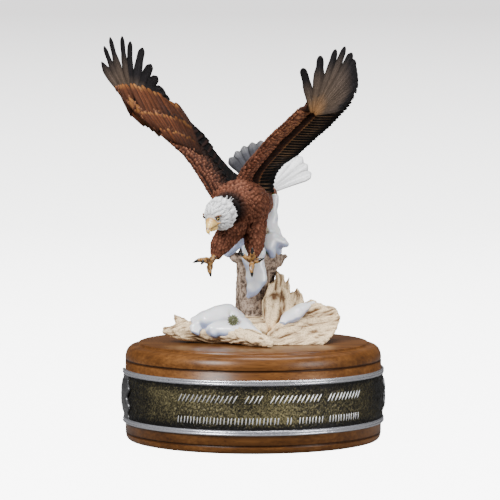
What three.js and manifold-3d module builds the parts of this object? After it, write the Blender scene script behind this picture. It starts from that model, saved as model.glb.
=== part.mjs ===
// A cast and painted bald eagle landing on a snowy stump, over a round walnut base
// with a cast metal band. Millimetres, +Z up, front towards -Y.
// The origin is the centre of the base's flat underside.
import * as THREE from 'three';
import { mergeVertices } from 'three/addons/utils/BufferGeometryUtils.js';
import Module from 'manifold-3d';

const wasm = await Module();
wasm.setup();

// ---- Driving dimensions ----

const CLEARANCE = 0.4; // left between touching pieces

const BASE = {
  height: 95, // underside to the plateau
  wallRadius: 125.5,
  footRadius: 121,
  shoulderRadius: 116,
  plateauRadius: 112.5,
  plateauRise: 3,
  lowGrooveAt: 7.4,
  highGrooveAt: 78.4,
  grooveDepth: 1.6,
  grooveHalf: 0.9,
  sides: 44,
};

const BAND = {
  low: 17.8,
  high: 70.1,
  inner: BASE.wallRadius + CLEARANCE + 0.2, // the extra clears the flats of the facets
  panel: 127.2,
  rim: 128.4,
  rimHeight: 5,
  bossRadius: 131,
  bossHalfHeight: 13,
  faces: 9.5, // azimuth of the middle, degrees from the front towards +X
  halfSpan: 95.5,
  bossHalfSpan: 7.5,
};

const MOUNT_FLOOR = BASE.height + CLEARANCE;

const WING_THICK = 9; // at the shoulder
const FEATHER_THICK = 3.2;
const TAIL_FEATHERS = 12;

// ---- Small helpers ----

const V = (x, y, z) => new THREE.Vector3(x, y, z);
const radians = THREE.MathUtils.degToRad;
const mix = THREE.MathUtils.lerp;

// A smooth curve through hand-set anchors.
function curve(...anchors) {
  return new THREE.CatmullRomCurve3(anchors.map((a) => V(...a)), false, 'centripetal');
}

// The value at t, 0 to 1, along evenly spaced values.
function along(values, t) {
  const place = t * (values.length - 1);
  const low = Math.min(Math.floor(place), values.length - 2);
  const blend = THREE.MathUtils.smoothstep(place - low, 0, 1);
  return mix(values[low], values[low + 1], blend);
}

// A closed skin over rings that all have the same number of points.
function loft(rings) {
  const count = rings[0].length;
  const corners = rings.flat().flatMap((p) => [p.x, p.y, p.z]);
  const faces = [];
  for (let ring = 0; ring < rings.length - 1; ring += 1) {
    for (let side = 0; side < count; side += 1) {
      const a = ring * count + side;
      const b = ring * count + ((side + 1) % count);
      faces.push(a, b, a + count, b, b + count, a + count);
    }
  }
  const last = (rings.length - 1) * count;
  for (let side = 1; side < count - 1; side += 1) {
    faces.push(0, side + 1, side);
    faces.push(last, last + side, last + side + 1);
  }
  const geometry = new THREE.BufferGeometry();
  geometry.setAttribute('position', new THREE.Float32BufferAttribute(corners, 3));
  geometry.setIndex(faces);
  return geometry;
}

// A manifold solid from a closed geometry, turned right side out if need be.
function solid(geometry) {
  const bare = geometry.clone();
  bare.deleteAttribute('normal');
  bare.deleteAttribute('uv');
  const merged = mergeVertices(bare, 1e-4);
  const vertProperties = Float32Array.from(merged.attributes.position.array);
  const triVerts = Uint32Array.from(merged.index.array);
  const corner = (i) => V(...vertProperties.slice(triVerts[i] * 3, triVerts[i] * 3 + 3));
  let volume = 0;
  for (let i = 0; i < triVerts.length; i += 3) {
    volume += corner(i).dot(corner(i + 1).cross(corner(i + 2)));
  }
  if (volume < 0) triVerts.reverse();
  return new wasm.Manifold(new wasm.Mesh({ numProp: 3, vertProperties, triVerts }));
}

// All the solids as one.
function joined(solids) {
  return solids.reduce((whole, next) => whole.add(next));
}

// The biggest body of a cut solid, without the slivers that a cut may leave.
function largest(cut) {
  return cut.decompose().reduce((best, next) => (next.volume() > best.volume() ? next : best));
}

// The same solid with its skin moved outwards.
function grown(body, distance) {
  const { vertProperties, triVerts } = body.getMesh();
  const skin = new THREE.BufferGeometry();
  skin.setAttribute('position', new THREE.BufferAttribute(vertProperties, 3));
  skin.setIndex(new THREE.BufferAttribute(triVerts, 1));
  skin.computeVertexNormals();
  const { position, normal } = skin.attributes;
  for (let i = 0; i < position.count; i += 1) {
    position.setXYZ(
      i,
      position.getX(i) + normal.getX(i) * distance,
      position.getY(i) + normal.getY(i) * distance,
      position.getZ(i) + normal.getZ(i) * distance,
    );
  }
  return solid(skin);
}

// A named mesh from a solid, with its painted or bare finish.
function piece(name, body, color, roughness, metalness = 0) {
  const { vertProperties, triVerts } = body.getMesh();
  const geometry = new THREE.BufferGeometry();
  geometry.setAttribute('position', new THREE.BufferAttribute(vertProperties, 3));
  geometry.setIndex(new THREE.BufferAttribute(triVerts, 1));
  geometry.computeVertexNormals();
  const finish = new THREE.MeshStandardMaterial({ color, roughness, metalness });
  const mesh = new THREE.Mesh(geometry, finish);
  mesh.name = name;
  return mesh;
}

// A rounded limb along anchors. wide lies across, deep lies along the hint; both are
// half sizes given evenly along the curve. ragged roughens each ring by a fraction.
function limb({ anchors, wide, deep = wide, hint = V(0, 0, 1), sides = 10, steps = 8, ragged = 0 }) {
  const path = curve(...anchors);
  const rings = [];
  for (let step = 0; step <= steps; step += 1) {
    const t = step / steps;
    const tangent = path.getTangentAt(t);
    const across = tangent.clone().cross(hint).normalize();
    const through = across.clone().cross(tangent).normalize();
    const centre = path.getPointAt(t);
    const ring = [];
    for (let side = 0; side < sides; side += 1) {
      const turn = (side / sides) * Math.PI * 2;
      const rough = 1 + ragged * Math.sin(side * 2.4 + step * 1.7) * Math.cos(side * 4.1 + step);
      const point = centre.clone();
      point.addScaledVector(across, Math.cos(turn) * along(wide, t) * rough);
      point.addScaledVector(through, Math.sin(turn) * along(deep, t) * rough);
      ring.push(point);
    }
    rings.push(ring);
  }
  return solid(loft(rings));
}

// A smooth lump: a squashed ball with its own centre, half sizes and turn about Z.
function lump(centre, half, turn = 0, detail = 12) {
  const ball = new THREE.SphereGeometry(1, detail, Math.round(detail * 0.6));
  ball.scale(...half);
  ball.rotateZ(radians(turn));
  ball.translate(...centre);
  return solid(ball);
}

// ---- The walnut base ----

function walnutBase() {
  const b = BASE;
  const shoulderLow = b.highGrooveAt + b.grooveHalf;
  const shoulderHigh = b.height - b.plateauRise;
  const outline = new THREE.Path();
  const groove = (z) => {
    outline.lineTo(b.wallRadius, z - b.grooveHalf);
    outline.lineTo(b.wallRadius - b.grooveDepth, z);
    outline.lineTo(b.wallRadius, z + b.grooveHalf);
  };
  outline.moveTo(0, 0);
  outline.lineTo(b.footRadius, 0);
  outline.quadraticCurveTo(b.wallRadius - 1, 1, b.wallRadius - 0.6, b.lowGrooveAt - 2.4);
  groove(b.lowGrooveAt);
  groove(b.highGrooveAt);
  outline.bezierCurveTo(
    b.wallRadius + 0.2, shoulderLow + 4,
    b.wallRadius - 2.5, shoulderHigh - 0.6,
    b.shoulderRadius, shoulderHigh,
  );
  outline.lineTo(b.plateauRadius + 1.6, shoulderHigh + 0.3);
  outline.quadraticCurveTo(b.plateauRadius, shoulderHigh + 0.6, b.plateauRadius, b.height - 0.6);
  outline.lineTo(b.plateauRadius - 0.6, b.height);
  outline.lineTo(0, b.height);
  const lathe = new THREE.LatheGeometry(outline.getPoints(3), b.sides);
  lathe.rotateX(Math.PI / 2);
  return solid(lathe);
}

// ---- The cast band ----

// One stretch of the band between two azimuths, from its closed section of
// [radius, height] pairs.
function bandStretch(section, from, to, steps) {
  const rings = [];
  for (let step = 0; step <= steps; step += 1) {
    const azimuth = radians(mix(from, to, step / steps));
    rings.push(section.map(([r, z]) => V(Math.sin(azimuth) * r, -Math.cos(azimuth) * r, z)));
  }
  return solid(loft(rings));
}

function nameBand() {
  const b = BAND;
  const reed = b.rimHeight / 2;
  const strip = [
    [b.inner, b.low], [b.rim - 0.4, b.low], [b.rim, b.low + reed],
    [b.panel, b.low + b.rimHeight], [b.panel, b.high - b.rimHeight],
    [b.rim, b.high - reed], [b.rim - 0.4, b.high], [b.inner, b.high],
  ];
  const middle = (b.low + b.high) / 2;
  const stretches = [bandStretch(strip, b.faces - b.halfSpan, b.faces + b.halfSpan, 26)];
  for (const side of [-1, 1]) {
    const centre = b.faces + side * (b.halfSpan - b.bossHalfSpan);
    const end = [
      [b.inner, b.low + 0.6], [b.rim, b.low + 0.6], [b.rim + 0.6, middle - b.bossHalfHeight],
      [b.bossRadius, middle - 5], [b.bossRadius, middle + 5],
      [b.rim + 0.6, middle + b.bossHalfHeight], [b.rim, b.high - 0.6], [b.inner, b.high - 0.6],
    ];
    stretches.push(bandStretch(end, centre - b.bossHalfSpan + 1, centre + b.bossHalfSpan - 1, 3));
  }
  return joined(stretches);
}

// ---- The stump, driftwood and snow ----

// A flat slab of split wood between two faces: its outline as corners, pushed from
// front to back along Y and drawn in at the edges.
function splitSlab(corners, front, back, draw = 0.82) {
  const centre = corners.reduce((sum, c) => sum.add(V(...c)), V(0, 0, 0));
  centre.divideScalar(corners.length);
  const layer = (depth, size) => corners.map((c) => {
    const point = V(...c).sub(centre).multiplyScalar(size).add(centre);
    point.y += depth;
    return point;
  });
  return solid(loft([layer(front, draw), layer(mix(front, back, 0.3), 1),
    layer(mix(front, back, 0.7), 1), layer(back, draw)]));
}

function stump() {
  return joined([
    limb({
      anchors: [[4, 8, 88], [2, 9, 112], [1, 10, 140], [3, 11, 165], [7, 14, 190],
        [11, 19, 212], [18, 25, 228], [21, 26, 237]],
      wide: [29, 25, 19, 19, 22, 14, 7, 3.5],
      deep: [25, 22, 18, 18, 19, 15, 8, 4],
      hint: V(0, 1, 0),
      sides: 10,
      steps: 8,
      ragged: 0.08,
    }),
    // the snow-laden knob of bark on the right
    limb({
      anchors: [[12, 12, 168], [24, 13, 174], [34, 14, 178.5]],
      wide: [9, 7, 2.5],
      sides: 8,
      steps: 4,
      ragged: 0.1,
    }),
    // the short broken branch on the left
    limb({
      anchors: [[-6, 8, 172], [-20, 5, 178], [-28, 4, 181]],
      wide: [8, 5, 1.6],
      sides: 8,
      steps: 4,
    }),
  ]);
}

function driftwood() {
  return joined([
    // the log on the left, with its upward splinter
    limb({
      anchors: [[12, -8, 108], [-20, -10, 108], [-52, -12, 107], [-76, -11, 107], [-88, -10, 108]],
      wide: [20, 21, 19, 15, 5],
      deep: [13, 14, 13, 10, 4],
      sides: 9,
      steps: 8,
      ragged: 0.09,
    }),
    limb({
      anchors: [[-66, -8, 108], [-72, -5, 115], [-78, -3, 121.5]],
      wide: [8, 6, 1.5],
      sides: 6,
      steps: 3,
    }),
    // the tongue that points forwards
    limb({
      anchors: [[-26, -22, 105], [-8, -40, 104], [8, -56, 101], [19, -67, 98.5]],
      wide: [13, 11, 9, 3.5],
      deep: [8, 8, 7, 3],
      sides: 9,
      steps: 7,
      ragged: 0.09,
    }),
    // the tall splinter that leans on the stump
    splitSlab([
      [9, -16, 96], [34, -12, 96], [37, -6, 118], [36, 0, 140], [35, 3, 158], [29, 3, 160],
      [23.8, 2, 164], [15, -4, 151], [9.5, -12, 136], [9, -16, 116],
    ], -5, 7),
    // the shorter splinter beside it
    splitSlab([
      [28, -12, 96], [56, -2, 96], [52, 2, 118], [46, 7, 133], [44.5, 8, 143], [40, 6, 146],
      [34, 2, 134], [28, -6, 120],
    ], -5, 7),
    // the long slab on the right
    splitSlab([
      [12, -33, 94], [22, -38, 93], [40, -38, 93], [61, -38, 93], [70, -28, 97], [79, -12, 106],
      [86, 2, 117], [84, 5, 123], [80, 8, 127], [66, 10, 130], [57, 12, 134], [40, 0, 124],
      [24, -18, 114], [14, -30, 104],
    ], -7, 22, 0.88),
  ]);
}

function snow() {
  return joined([
    // drift over the left log
    lump([-30, -14, 117], [31, 24, 13.5], 8, 13),
    lump([-10, -12, 124], [22, 18, 12], -20, 11),
    lump([-48, -16, 114], [14, 17, 8.5], 0, 9),
    lump([-14, -40, 107], [14, 9, 7], -30, 9),
    // the tongue of snow down the front of the stump
    limb({
      anchors: [[0, -2, 190], [2, -9, 172], [3, -11, 156], [-1, -13, 146], [-4, -12, 139]],
      wide: [15, 15, 13, 8, 2],
      deep: [4, 5, 5, 4, 2],
      hint: V(0, -1, 0),
      sides: 8,
      steps: 6,
    }),
    // the sheet of snow down its right shoulder
    limb({
      anchors: [[21, 25, 239], [20, 23, 226], [16, 17, 212], [16, 12, 198], [21, 12, 186],
        [25, 12, 178]],
      wide: [4, 4, 7, 9, 10, 4],
      deep: [5, 5, 7, 8, 8, 4],
      hint: V(0, -1, 0),
      sides: 8,
      steps: 8,
    }),
    // the patch caught between the splinters and the slab
    limb({
      anchors: [[60, 10, 132], [46, -2, 126], [34, -16, 119], [28, -24, 114]],
      wide: [3, 8, 10, 5],
      deep: [3, 5, 6, 4],
      hint: V(0, 0, 1),
      sides: 9,
      steps: 6,
    }),
  ]);
}

function pineCone() {
  return lump([-19.7, -33, 119.5], [6.2, 4.5, 6.2], 0, 8);
}

function driftwoodMount(keepOut) {
  const floor = new THREE.BoxGeometry(400, 400, 100);
  floor.translate(0, 0, MOUNT_FLOOR - 50);
  return largest(joined([stump(), driftwood(), snow(), pineCone()])
    .subtract(solid(floor))
    .subtract(keepOut));
}

// ---- The eagle ----

// The trunk of the body, from the neck to the root of the tail.
function torso() {
  const half = [14, 18, 26, 25, 19, 15, 12.5, 9];
  return limb({
    anchors: [[-26, -62, 228], [-22, -50, 229], [-14, -30, 231], [-6, -14, 230], [-1, 0, 229],
      [4, 14, 229], [8, 26, 231], [13, 44, 237]],
    wide: half,
    deep: half.map((size) => size * 0.93),
    sides: 11,
    steps: 8,
  });
}

// The head with its ruff of spiked feathers, looking down and to the left.
const HEAD_AT = V(-31, -78, 225.5);
const GAZE = V(-0.45, -0.65, -0.6).normalize();

function head() {
  const back = HEAD_AT.clone().addScaledVector(GAZE, -16);
  const brow = HEAD_AT.clone().addScaledVector(GAZE, 12);
  const skull = limb({
    anchors: [back, HEAD_AT.clone().addScaledVector(GAZE, -8), HEAD_AT, brow,
      brow.clone().addScaledVector(GAZE, 5)].map((p) => p.toArray()),
    wide: [12, 16, 16, 10.5, 5],
    deep: [12, 16, 16, 11, 5],
    sides: 12,
    steps: 6,
  });
  const beak = limb({
    anchors: [[-37, -86, 220], [-40, -92, 217], [-42.5, -95, 212], [-41.8, -93, 206.5]],
    wide: [6, 5.2, 4, 0.8],
    deep: [7, 6.4, 4, 0.8],
    hint: V(0.45, 0.65, 0.6),
    sides: 7,
    steps: 4,
  });
  return joined([skull, beak]);
}

// A flat feather from its root to its tip. bow bends its centre line sideways, and
// stations are [place along it, half width] pairs.
function feather({ root, tip, bow, face, thick, stations }) {
  const bent = root.clone().lerp(tip, 0.55).add(bow);
  const path = new THREE.QuadraticBezierCurve3(root, bent, tip);
  const rings = stations.map(([t, half]) => {
    const tangent = path.getTangent(t);
    const across = tangent.clone().cross(face).normalize().multiplyScalar(half);
    const through = across.clone().cross(tangent).normalize();
    through.multiplyScalar(thick * 0.5 * Math.min(1, 2.2 * (1.15 - t)));
    const centre = path.getPoint(t);
    return [
      centre.clone().add(across),
      centre.clone().add(through),
      centre.clone().sub(across),
      centre.clone().sub(through),
    ];
  });
  return solid(loft(rings));
}

// The feathered arm of a wing, between its leading and trailing edges.
function arm({ leading, trailing, outside, thick, camber, steps }) {
  const front = curve(...leading);
  const rear = curve(...trailing);
  const stations = [[0, 0], [0.1, 0.8], [0.35, 1], [0.7, 0.55], [1, 0.16], [0.7, -0.3],
    [0.35, -0.6], [0.1, -0.7]];
  const rings = [];
  for (let step = 0; step <= steps; step += 1) {
    const t = step / steps;
    const nose = front.getPointAt(t);
    const tail = rear.getPointAt(t);
    const chord = tail.clone().sub(nose);
    const normal = chord.clone().cross(front.getTangentAt(t)).normalize();
    if (normal.dot(outside) < 0) normal.negate();
    const depth = along(thick, t) * 0.5;
    rings.push(stations.map(([u, v]) => {
      const arch = camber * chord.length() * Math.sin(Math.PI * u);
      return nose.clone().addScaledVector(chord, u).addScaledVector(normal, v * depth + arch);
    }));
  }
  return solid(loft(rings));
}

// A spread hand: feathers fanned from the wrist in the plane of the hand. Each has its
// reach, its direction in degrees from +X towards +Z as seen from the front, the radius
// out to which it overlaps its neighbours, and the half width of its free finger.
function hand({ wrist, slope, fan, curl }) {
  const face = V(slope.x, -1, slope.z).normalize();
  const out = (reach, degrees) => {
    const x = Math.cos(radians(degrees)) * reach;
    const z = Math.sin(radians(degrees)) * reach;
    return V(wrist.x + x, wrist.y + slope.x * x + slope.z * z, wrist.z + z);
  };
  return joined(fan.map(([reach, degrees, webbed, half], index) => {
    const next = Math.min(index + 1, fan.length - 1);
    const before = Math.max(index - 1, 0);
    const spacing = radians(Math.abs(fan[next][1] - fan[before][1]) / (next - before));
    const web = Math.max(spacing * webbed * 0.6, half);
    const joint = Math.min(webbed / reach, 0.86);
    const free = Math.min(joint + 0.12, 0.92);
    const side = V(Math.sin(radians(degrees)), 0, -Math.cos(radians(degrees)));
    return feather({
      root: out(2, degrees),
      tip: out(reach, degrees),
      bow: side.multiplyScalar(-curl * reach),
      face,
      thick: FEATHER_THICK,
      stations: [[0, web * 0.35], [joint, web], [free, half],
        [mix(free, 0.94, 0.5), half], [0.94, half * 0.8], [1, half * 0.3]],
    });
  }));
}

const RIGHT_BACK = V(0.52, -0.47, 0.68); // the back of the right wing faces the front
const LEFT_BACK = V(-0.57, 0.58, 0.54); // the left wing shows its underside

function rightWing() {
  const blade = arm({
    leading: [[-16, -36, 222], [-38, -25, 235], [-50, -20, 253], [-66, -12, 276], [-89, -4, 296],
      [-108, 4, 312], [-126, 12, 329], [-139, 19, 345]],
    trailing: [[4, 4, 232], [-18, 15, 256], [-28, 25, 266], [-40, 32, 280], [-51, 38, 296],
      [-65, 42, 309], [-83, 44, 327], [-90, 43, 338]],
    outside: RIGHT_BACK,
    thick: [WING_THICK * 1.8, WING_THICK * 1.3, WING_THICK, WING_THICK * 0.8, WING_THICK * 0.5],
    camber: 0.07,
    steps: 8,
  });
  const fingers = hand({
    wrist: V(-116.6, 27, 323),
    slope: V(0.44, 0, 0.11),
    fan: [[56, 125, 46, 1.8], [68, 116, 44, 1.8], [74, 109, 47, 1.9], [72, 100, 45, 2],
      [66, 94, 40, 2.4], [60, 83, 39, 3.8], [46, 70, 36, 4.2], [38, 55, 32, 4.4],
      [33, 37, 28, 4.4], [33, 18, 28, 4.4]],
    curl: 0.06,
  });
  return blade.add(fingers);
}

function leftWing() {
  const blade = arm({
    leading: [[-18, -34, 238], [-13, -24, 258], [-1, -28, 274], [12, -34, 292], [26, -40, 306],
      [40, -46, 320], [47, -48, 328], [50, -50, 338], [49.5, -50, 348]],
    trailing: [[12, 14, 224], [18, 20, 237], [20, 22, 255], [28, 20, 267], [45, 12, 281],
      [61, 2, 297], [76, -9, 311], [90, -17, 328], [97, -23, 342]],
    outside: LEFT_BACK,
    thick: [WING_THICK * 1.8, WING_THICK * 1.3, WING_THICK, WING_THICK * 0.8, WING_THICK * 0.5],
    camber: 0.07,
    steps: 8,
  });
  const fingers = hand({
    wrist: V(56.3, -44, 318),
    slope: V(0.52, 0, 0.06),
    fan: [[46, 102, 26, 3.4], [57.5, 82, 38, 3.4], [67, 70, 46, 3.3], [73, 64, 56, 3],
      [71, 57, 60, 4], [63, 48, 56, 4.5], [57, 40, 52, 4.5], [50, 32, 46, 4.5],
      [40, 24, 36, 4.5], [31, 16, 28, 4.5]],
    curl: -0.05,
  });
  return blade.add(fingers);
}

// The fanned tail, cupped towards the front.
function tail() {
  const root = V(12, 43, 238);
  const feathers = [];
  for (let index = 0; index < TAIL_FEATHERS; index += 1) {
    const t = index / (TAIL_FEATHERS - 1);
    const spread = mix(-1, 1, t);
    const degrees = mix(136, 23, t);
    const reach = 50 + 2 * (1 - spread * spread);
    const direction = V(Math.cos(radians(degrees)), 0, Math.sin(radians(degrees)));
    const lean = 32 - 14 * spread * spread;
    feathers.push(feather({
      root: root.clone().addScaledVector(direction, 4),
      tip: root.clone().addScaledVector(direction, reach).add(V(0, lean, 0)),
      bow: V(0, 5, 0),
      face: V(0.1, -0.86, 0.5),
      thick: 2.8,
      stations: [[0, 2.5], [0.82, 6.2], [0.95, 4.6], [1, 2]],
    }));
  }
  const rump = limb({
    anchors: [[9, 30, 232], [12, 42, 238], [13, 52, 246]],
    wide: [17, 12, 7],
    deep: [15, 8, 4],
    sides: 10,
    steps: 4,
  });
  return joined([rump, ...feathers]);
}

// A toe from its knuckle to the point of its talon.
function toe(knuckle, middle, point) {
  return limb({
    anchors: [knuckle, middle, point],
    wide: [3.1, 2.7, 2.3, 1.7, 0.6],
    sides: 6,
    steps: 4,
    hint: V(0.3, -1, 0.2),
  });
}

function rightLeg() {
  const foot = [-41.5, -67, 178];
  return joined([
    limb({
      anchors: [[-14, -28, 222], [-21, -42, 207], [-29, -53, 197], [-34, -59, 189], [-36, -62, 182]],
      wide: [18, 14, 11.5, 10, 5],
      sides: 10,
      steps: 7,
      hint: V(0, 1, 0),
    }),
    limb({ anchors: [[-35, -61, 185], [-39, -65, 181], foot], wide: [3.4, 3.2, 3.4], sides: 8, steps: 4 }),
    toe(foot, [-50, -74, 180.5], [-58, -78, 178]),
    toe(foot, [-46, -76, 181], [-50, -84, 176.5]),
    toe(foot, [-42, -72, 172], [-40.5, -72, 163.5]),
    toe(foot, [-41, -62, 176], [-39.5, -59, 170]),
  ]);
}

function leftLeg() {
  const foot = [-1.3, -61, 178];
  return joined([
    limb({
      anchors: [[-2, -12, 222], [0, -27, 212], [1, -40, 200], [0.8, -48, 190], [0, -53, 182]],
      wide: [17, 14, 11, 9.5, 5],
      sides: 10,
      steps: 7,
      hint: V(0, 1, 0),
    }),
    limb({ anchors: [[0, -52, 185], [-1, -57, 181], foot], wide: [3.6, 3.4, 3.6], sides: 8, steps: 4 }),
    toe(foot, [-1, -69, 185], [-1, -72, 192.5]),
    toe(foot, [-8, -68, 183], [-13.5, -70, 188]),
    toe(foot, [5, -68, 179.5], [10.5, -70, 182]),
    toe(foot, [-1.6, -67, 172], [-1.3, -68, 163]),
  ]);
}

function eagle() {
  return joined([torso(), head(), rightWing(), leftWing(), tail(), rightLeg(), leftLeg()]);
}

// ---- The whole sculpture ----

const bird = eagle();
const sculpture = new THREE.Group();
sculpture.add(
  piece('walnut_base', walnutBase(), '#7a4a24', 0.4),
  piece('name_band', nameBand(), '#5b5540', 0.45, 0.85),
  piece('driftwood_mount', driftwoodMount(grown(bird, CLEARANCE)), '#d8c8a8', 0.75),
  piece('eagle', bird, '#5a3020', 0.6),
);
export default sculpture;
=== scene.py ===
"""Looks of a painted cast eagle on a snowy driftwood mount, over a banded walnut base."""
import logging
import math
from dataclasses import dataclass
from enum import Enum, IntEnum
from typing import Callable, Protocol, Sequence

import bmesh
import bpy
import numpy as np
from bmesh import ops
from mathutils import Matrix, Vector
from mathutils.bvhtree import BVHTree


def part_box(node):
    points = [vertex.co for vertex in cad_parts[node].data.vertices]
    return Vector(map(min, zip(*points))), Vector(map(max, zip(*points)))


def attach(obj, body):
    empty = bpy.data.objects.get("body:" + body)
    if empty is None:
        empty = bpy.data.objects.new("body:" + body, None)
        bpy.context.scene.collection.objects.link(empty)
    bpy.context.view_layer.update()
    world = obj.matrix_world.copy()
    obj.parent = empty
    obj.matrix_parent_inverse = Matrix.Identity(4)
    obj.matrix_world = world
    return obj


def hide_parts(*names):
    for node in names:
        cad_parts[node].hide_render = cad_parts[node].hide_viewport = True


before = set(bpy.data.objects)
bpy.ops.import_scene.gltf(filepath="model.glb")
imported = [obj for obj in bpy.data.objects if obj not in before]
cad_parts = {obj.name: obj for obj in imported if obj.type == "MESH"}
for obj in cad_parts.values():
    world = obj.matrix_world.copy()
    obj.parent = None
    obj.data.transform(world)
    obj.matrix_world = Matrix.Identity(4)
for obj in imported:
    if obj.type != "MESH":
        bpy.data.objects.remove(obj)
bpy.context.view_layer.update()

LOG = logging.getLogger("eagle")
Mesh = bpy.types.Mesh
Holder = bpy.types.Object
Socket = bpy.types.NodeSocket
Material = bpy.types.Material
Form = bmesh.types.BMesh
Array = np.ndarray
Color = tuple[float, float, float]
Point = tuple[float, float, float]

MM = 0.001
DEEPER = 0.42  # how deep a dark paint is laid
PURER = 1.12  # how much purer a paint is laid
KNEE = 0.55  # where a long feather bends along it
BODY = "root"


# ---- small helpers


def paint(red: int, green: int, blue: int) -> Color:
    """The paint that shows as a display colour of 0 to 255 under the strong studio light.

    Middle tones are laid deeper and a little purer than they show; whites stay white.

    Args:
        red: how red it shows.
        green: how green it shows.
        blue: how blue it shows.

    Returns:
        The paint as linear red, green and blue from 0 to 1.
    """
    share = np.array((red, green, blue)) / 255
    tones = np.where(share <= 0.04045, share / 12.92, ((share + 0.055) / 1.055) ** 2.4)
    tones = np.clip(tones.mean() + (tones - tones.mean()) * PURER, 0.0005, 1)
    return tuple(tones * (DEEPER + (1 - DEEPER) * tones.max() ** 2))


def unit(rows: Array) -> Array:
    """Each row scaled to length one."""
    return rows / np.maximum(np.linalg.norm(rows, axis=-1, keepdims=True), 1e-12)


def smooth(low: float, high: float, value: Array | float) -> Array:
    """An S-curve from 0 at low to 1 at high."""
    share = np.clip((value - low) / (high - low), 0, 1)
    return share * share * (3 - 2 * share)


def along(values: Sequence[float], place: Array) -> Array:
    """The value at a place along evenly spaced values, eased between them.

    Args:
        values: the values, from the start to the end.
        place: places from 0 to 1.

    Returns:
        One value a place.
    """
    table = np.asarray(values, float)
    spot = np.clip(place, 0, 1) * (len(table) - 1)
    low = np.minimum(spot.astype(int), len(table) - 2)
    share = smooth(0, 1, spot - low)
    return table[low] * (1 - share) + table[low + 1] * share


def blend(first: Color | Array, second: Color | Array, share: Array | float) -> Array:
    """Colours between two, one row for each share."""
    part = np.asarray(share, float)[..., None]
    return np.asarray(first, float) * (1 - part) + np.asarray(second, float) * part


def knee(root: Array, tip: Array) -> Array:
    """The point that a straight long feather would bend at."""
    return root * (1 - KNEE) + tip * KNEE


class Noise:
    """Smooth seeded lattice noise, the same on every run."""

    SIDE = 32

    def __init__(self, seed: int) -> None:
        """Fills the lattice.

        Args:
            seed: picks the pattern.
        """
        self.lattice = np.random.default_rng(seed).random((self.SIDE,) * 3) * 2 - 1

    def __call__(self, points: Array, size: float | Sequence[float], octaves: int = 1) -> Array:
        """Values from about -1 to 1 at points.

        Args:
            points: rows of x, y, z in metres.
            size: the size of one bump in metres, or one size for each axis.
            octaves: how many finer layers are added, each at half the size.

        Returns:
            One value a row.
        """
        total = np.zeros(len(points))
        for octave in range(octaves):
            total += self._layer(points * 2.0**octave / np.asarray(size) + 7.3 * octave) * 0.5**octave
        return total

    def _layer(self, spots: Array) -> Array:
        """One layer of noise.

        Args:
            spots: rows of lattice coordinates.

        Returns:
            One value a row.
        """
        cell = np.floor(spots).astype(int)
        part = spots - cell
        part = part * part * (3 - 2 * part)
        total = np.zeros(len(spots))
        for corner in np.ndindex(2, 2, 2):
            weight = np.prod(np.where(corner, part, 1 - part), axis=1)
            where = (cell + corner) % self.SIDE
            total += weight * self.lattice[where[:, 0], where[:, 1], where[:, 2]]
        return total


class Route:
    """A smooth centripetal curve through anchors, walked by its length."""

    SAMPLES = 24

    def __init__(self, anchors: Sequence[Point]) -> None:
        """Samples the curve.

        Args:
            anchors: the points it passes through, in millimetres.
        """
        spots = np.array(anchors, float) * MM
        spots = np.vstack([2 * spots[0] - spots[1], spots, 2 * spots[-1] - spots[-2]])
        found = [
            self._stretch(*spots[i : i + 4], np.linspace(0, 1, self.SAMPLES, endpoint=False))
            for i in range(len(spots) - 3)
        ]
        self.points = np.vstack([*found, spots[-2][None]])
        steps = np.linalg.norm(np.diff(self.points, axis=0), axis=1)
        self.distance = np.concatenate([[0], np.cumsum(steps)])
        self.length = float(self.distance[-1])

    @staticmethod
    def _stretch(before: Array, start: Array, end: Array, after: Array, share: Array) -> Array:
        """Points of one stretch of the curve.

        Args:
            before: the anchor before the stretch.
            start: the anchor it leaves.
            end: the anchor it reaches.
            after: the anchor after it.
            share: places along it from 0 to 1.

        Returns:
            Rows of points.
        """
        gaps = [
            max(float(np.linalg.norm(b - a)) ** 0.5, 1e-6)
            for a, b in ((before, start), (start, end), (end, after))
        ]
        leave = ((start - before) / gaps[0] - (end - before) / (gaps[0] + gaps[1])
                 + (end - start) / gaps[1]) * gaps[1]
        reach = ((end - start) / gaps[1] - (after - start) / (gaps[1] + gaps[2])
                 + (after - end) / gaps[2]) * gaps[1]
        t = share[:, None]
        return (
            (2 * t**3 - 3 * t**2 + 1) * start + (t**3 - 2 * t**2 + t) * leave
            + (3 * t**2 - 2 * t**3) * end + (t**3 - t**2) * reach
        )

    def at(self, place: Array) -> Array:
        """Points at places from 0 to 1 of the whole length."""
        goal = np.clip(place, 0, 1) * self.length
        return np.stack([np.interp(goal, self.distance, axis) for axis in self.points.T], axis=-1)

    def heading(self, place: Array) -> Array:
        """Unit directions of travel at places from 0 to 1."""
        return unit(self.at(place + 0.01) - self.at(place - 0.01))


# ---- surfaces


class Surface(Protocol):
    """A closed form walked by u, once round it from 0 to 1, and v, along it from 0 to 1."""

    def at(self, u: Array, v: Array) -> Array:
        """Points on the form."""


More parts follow.
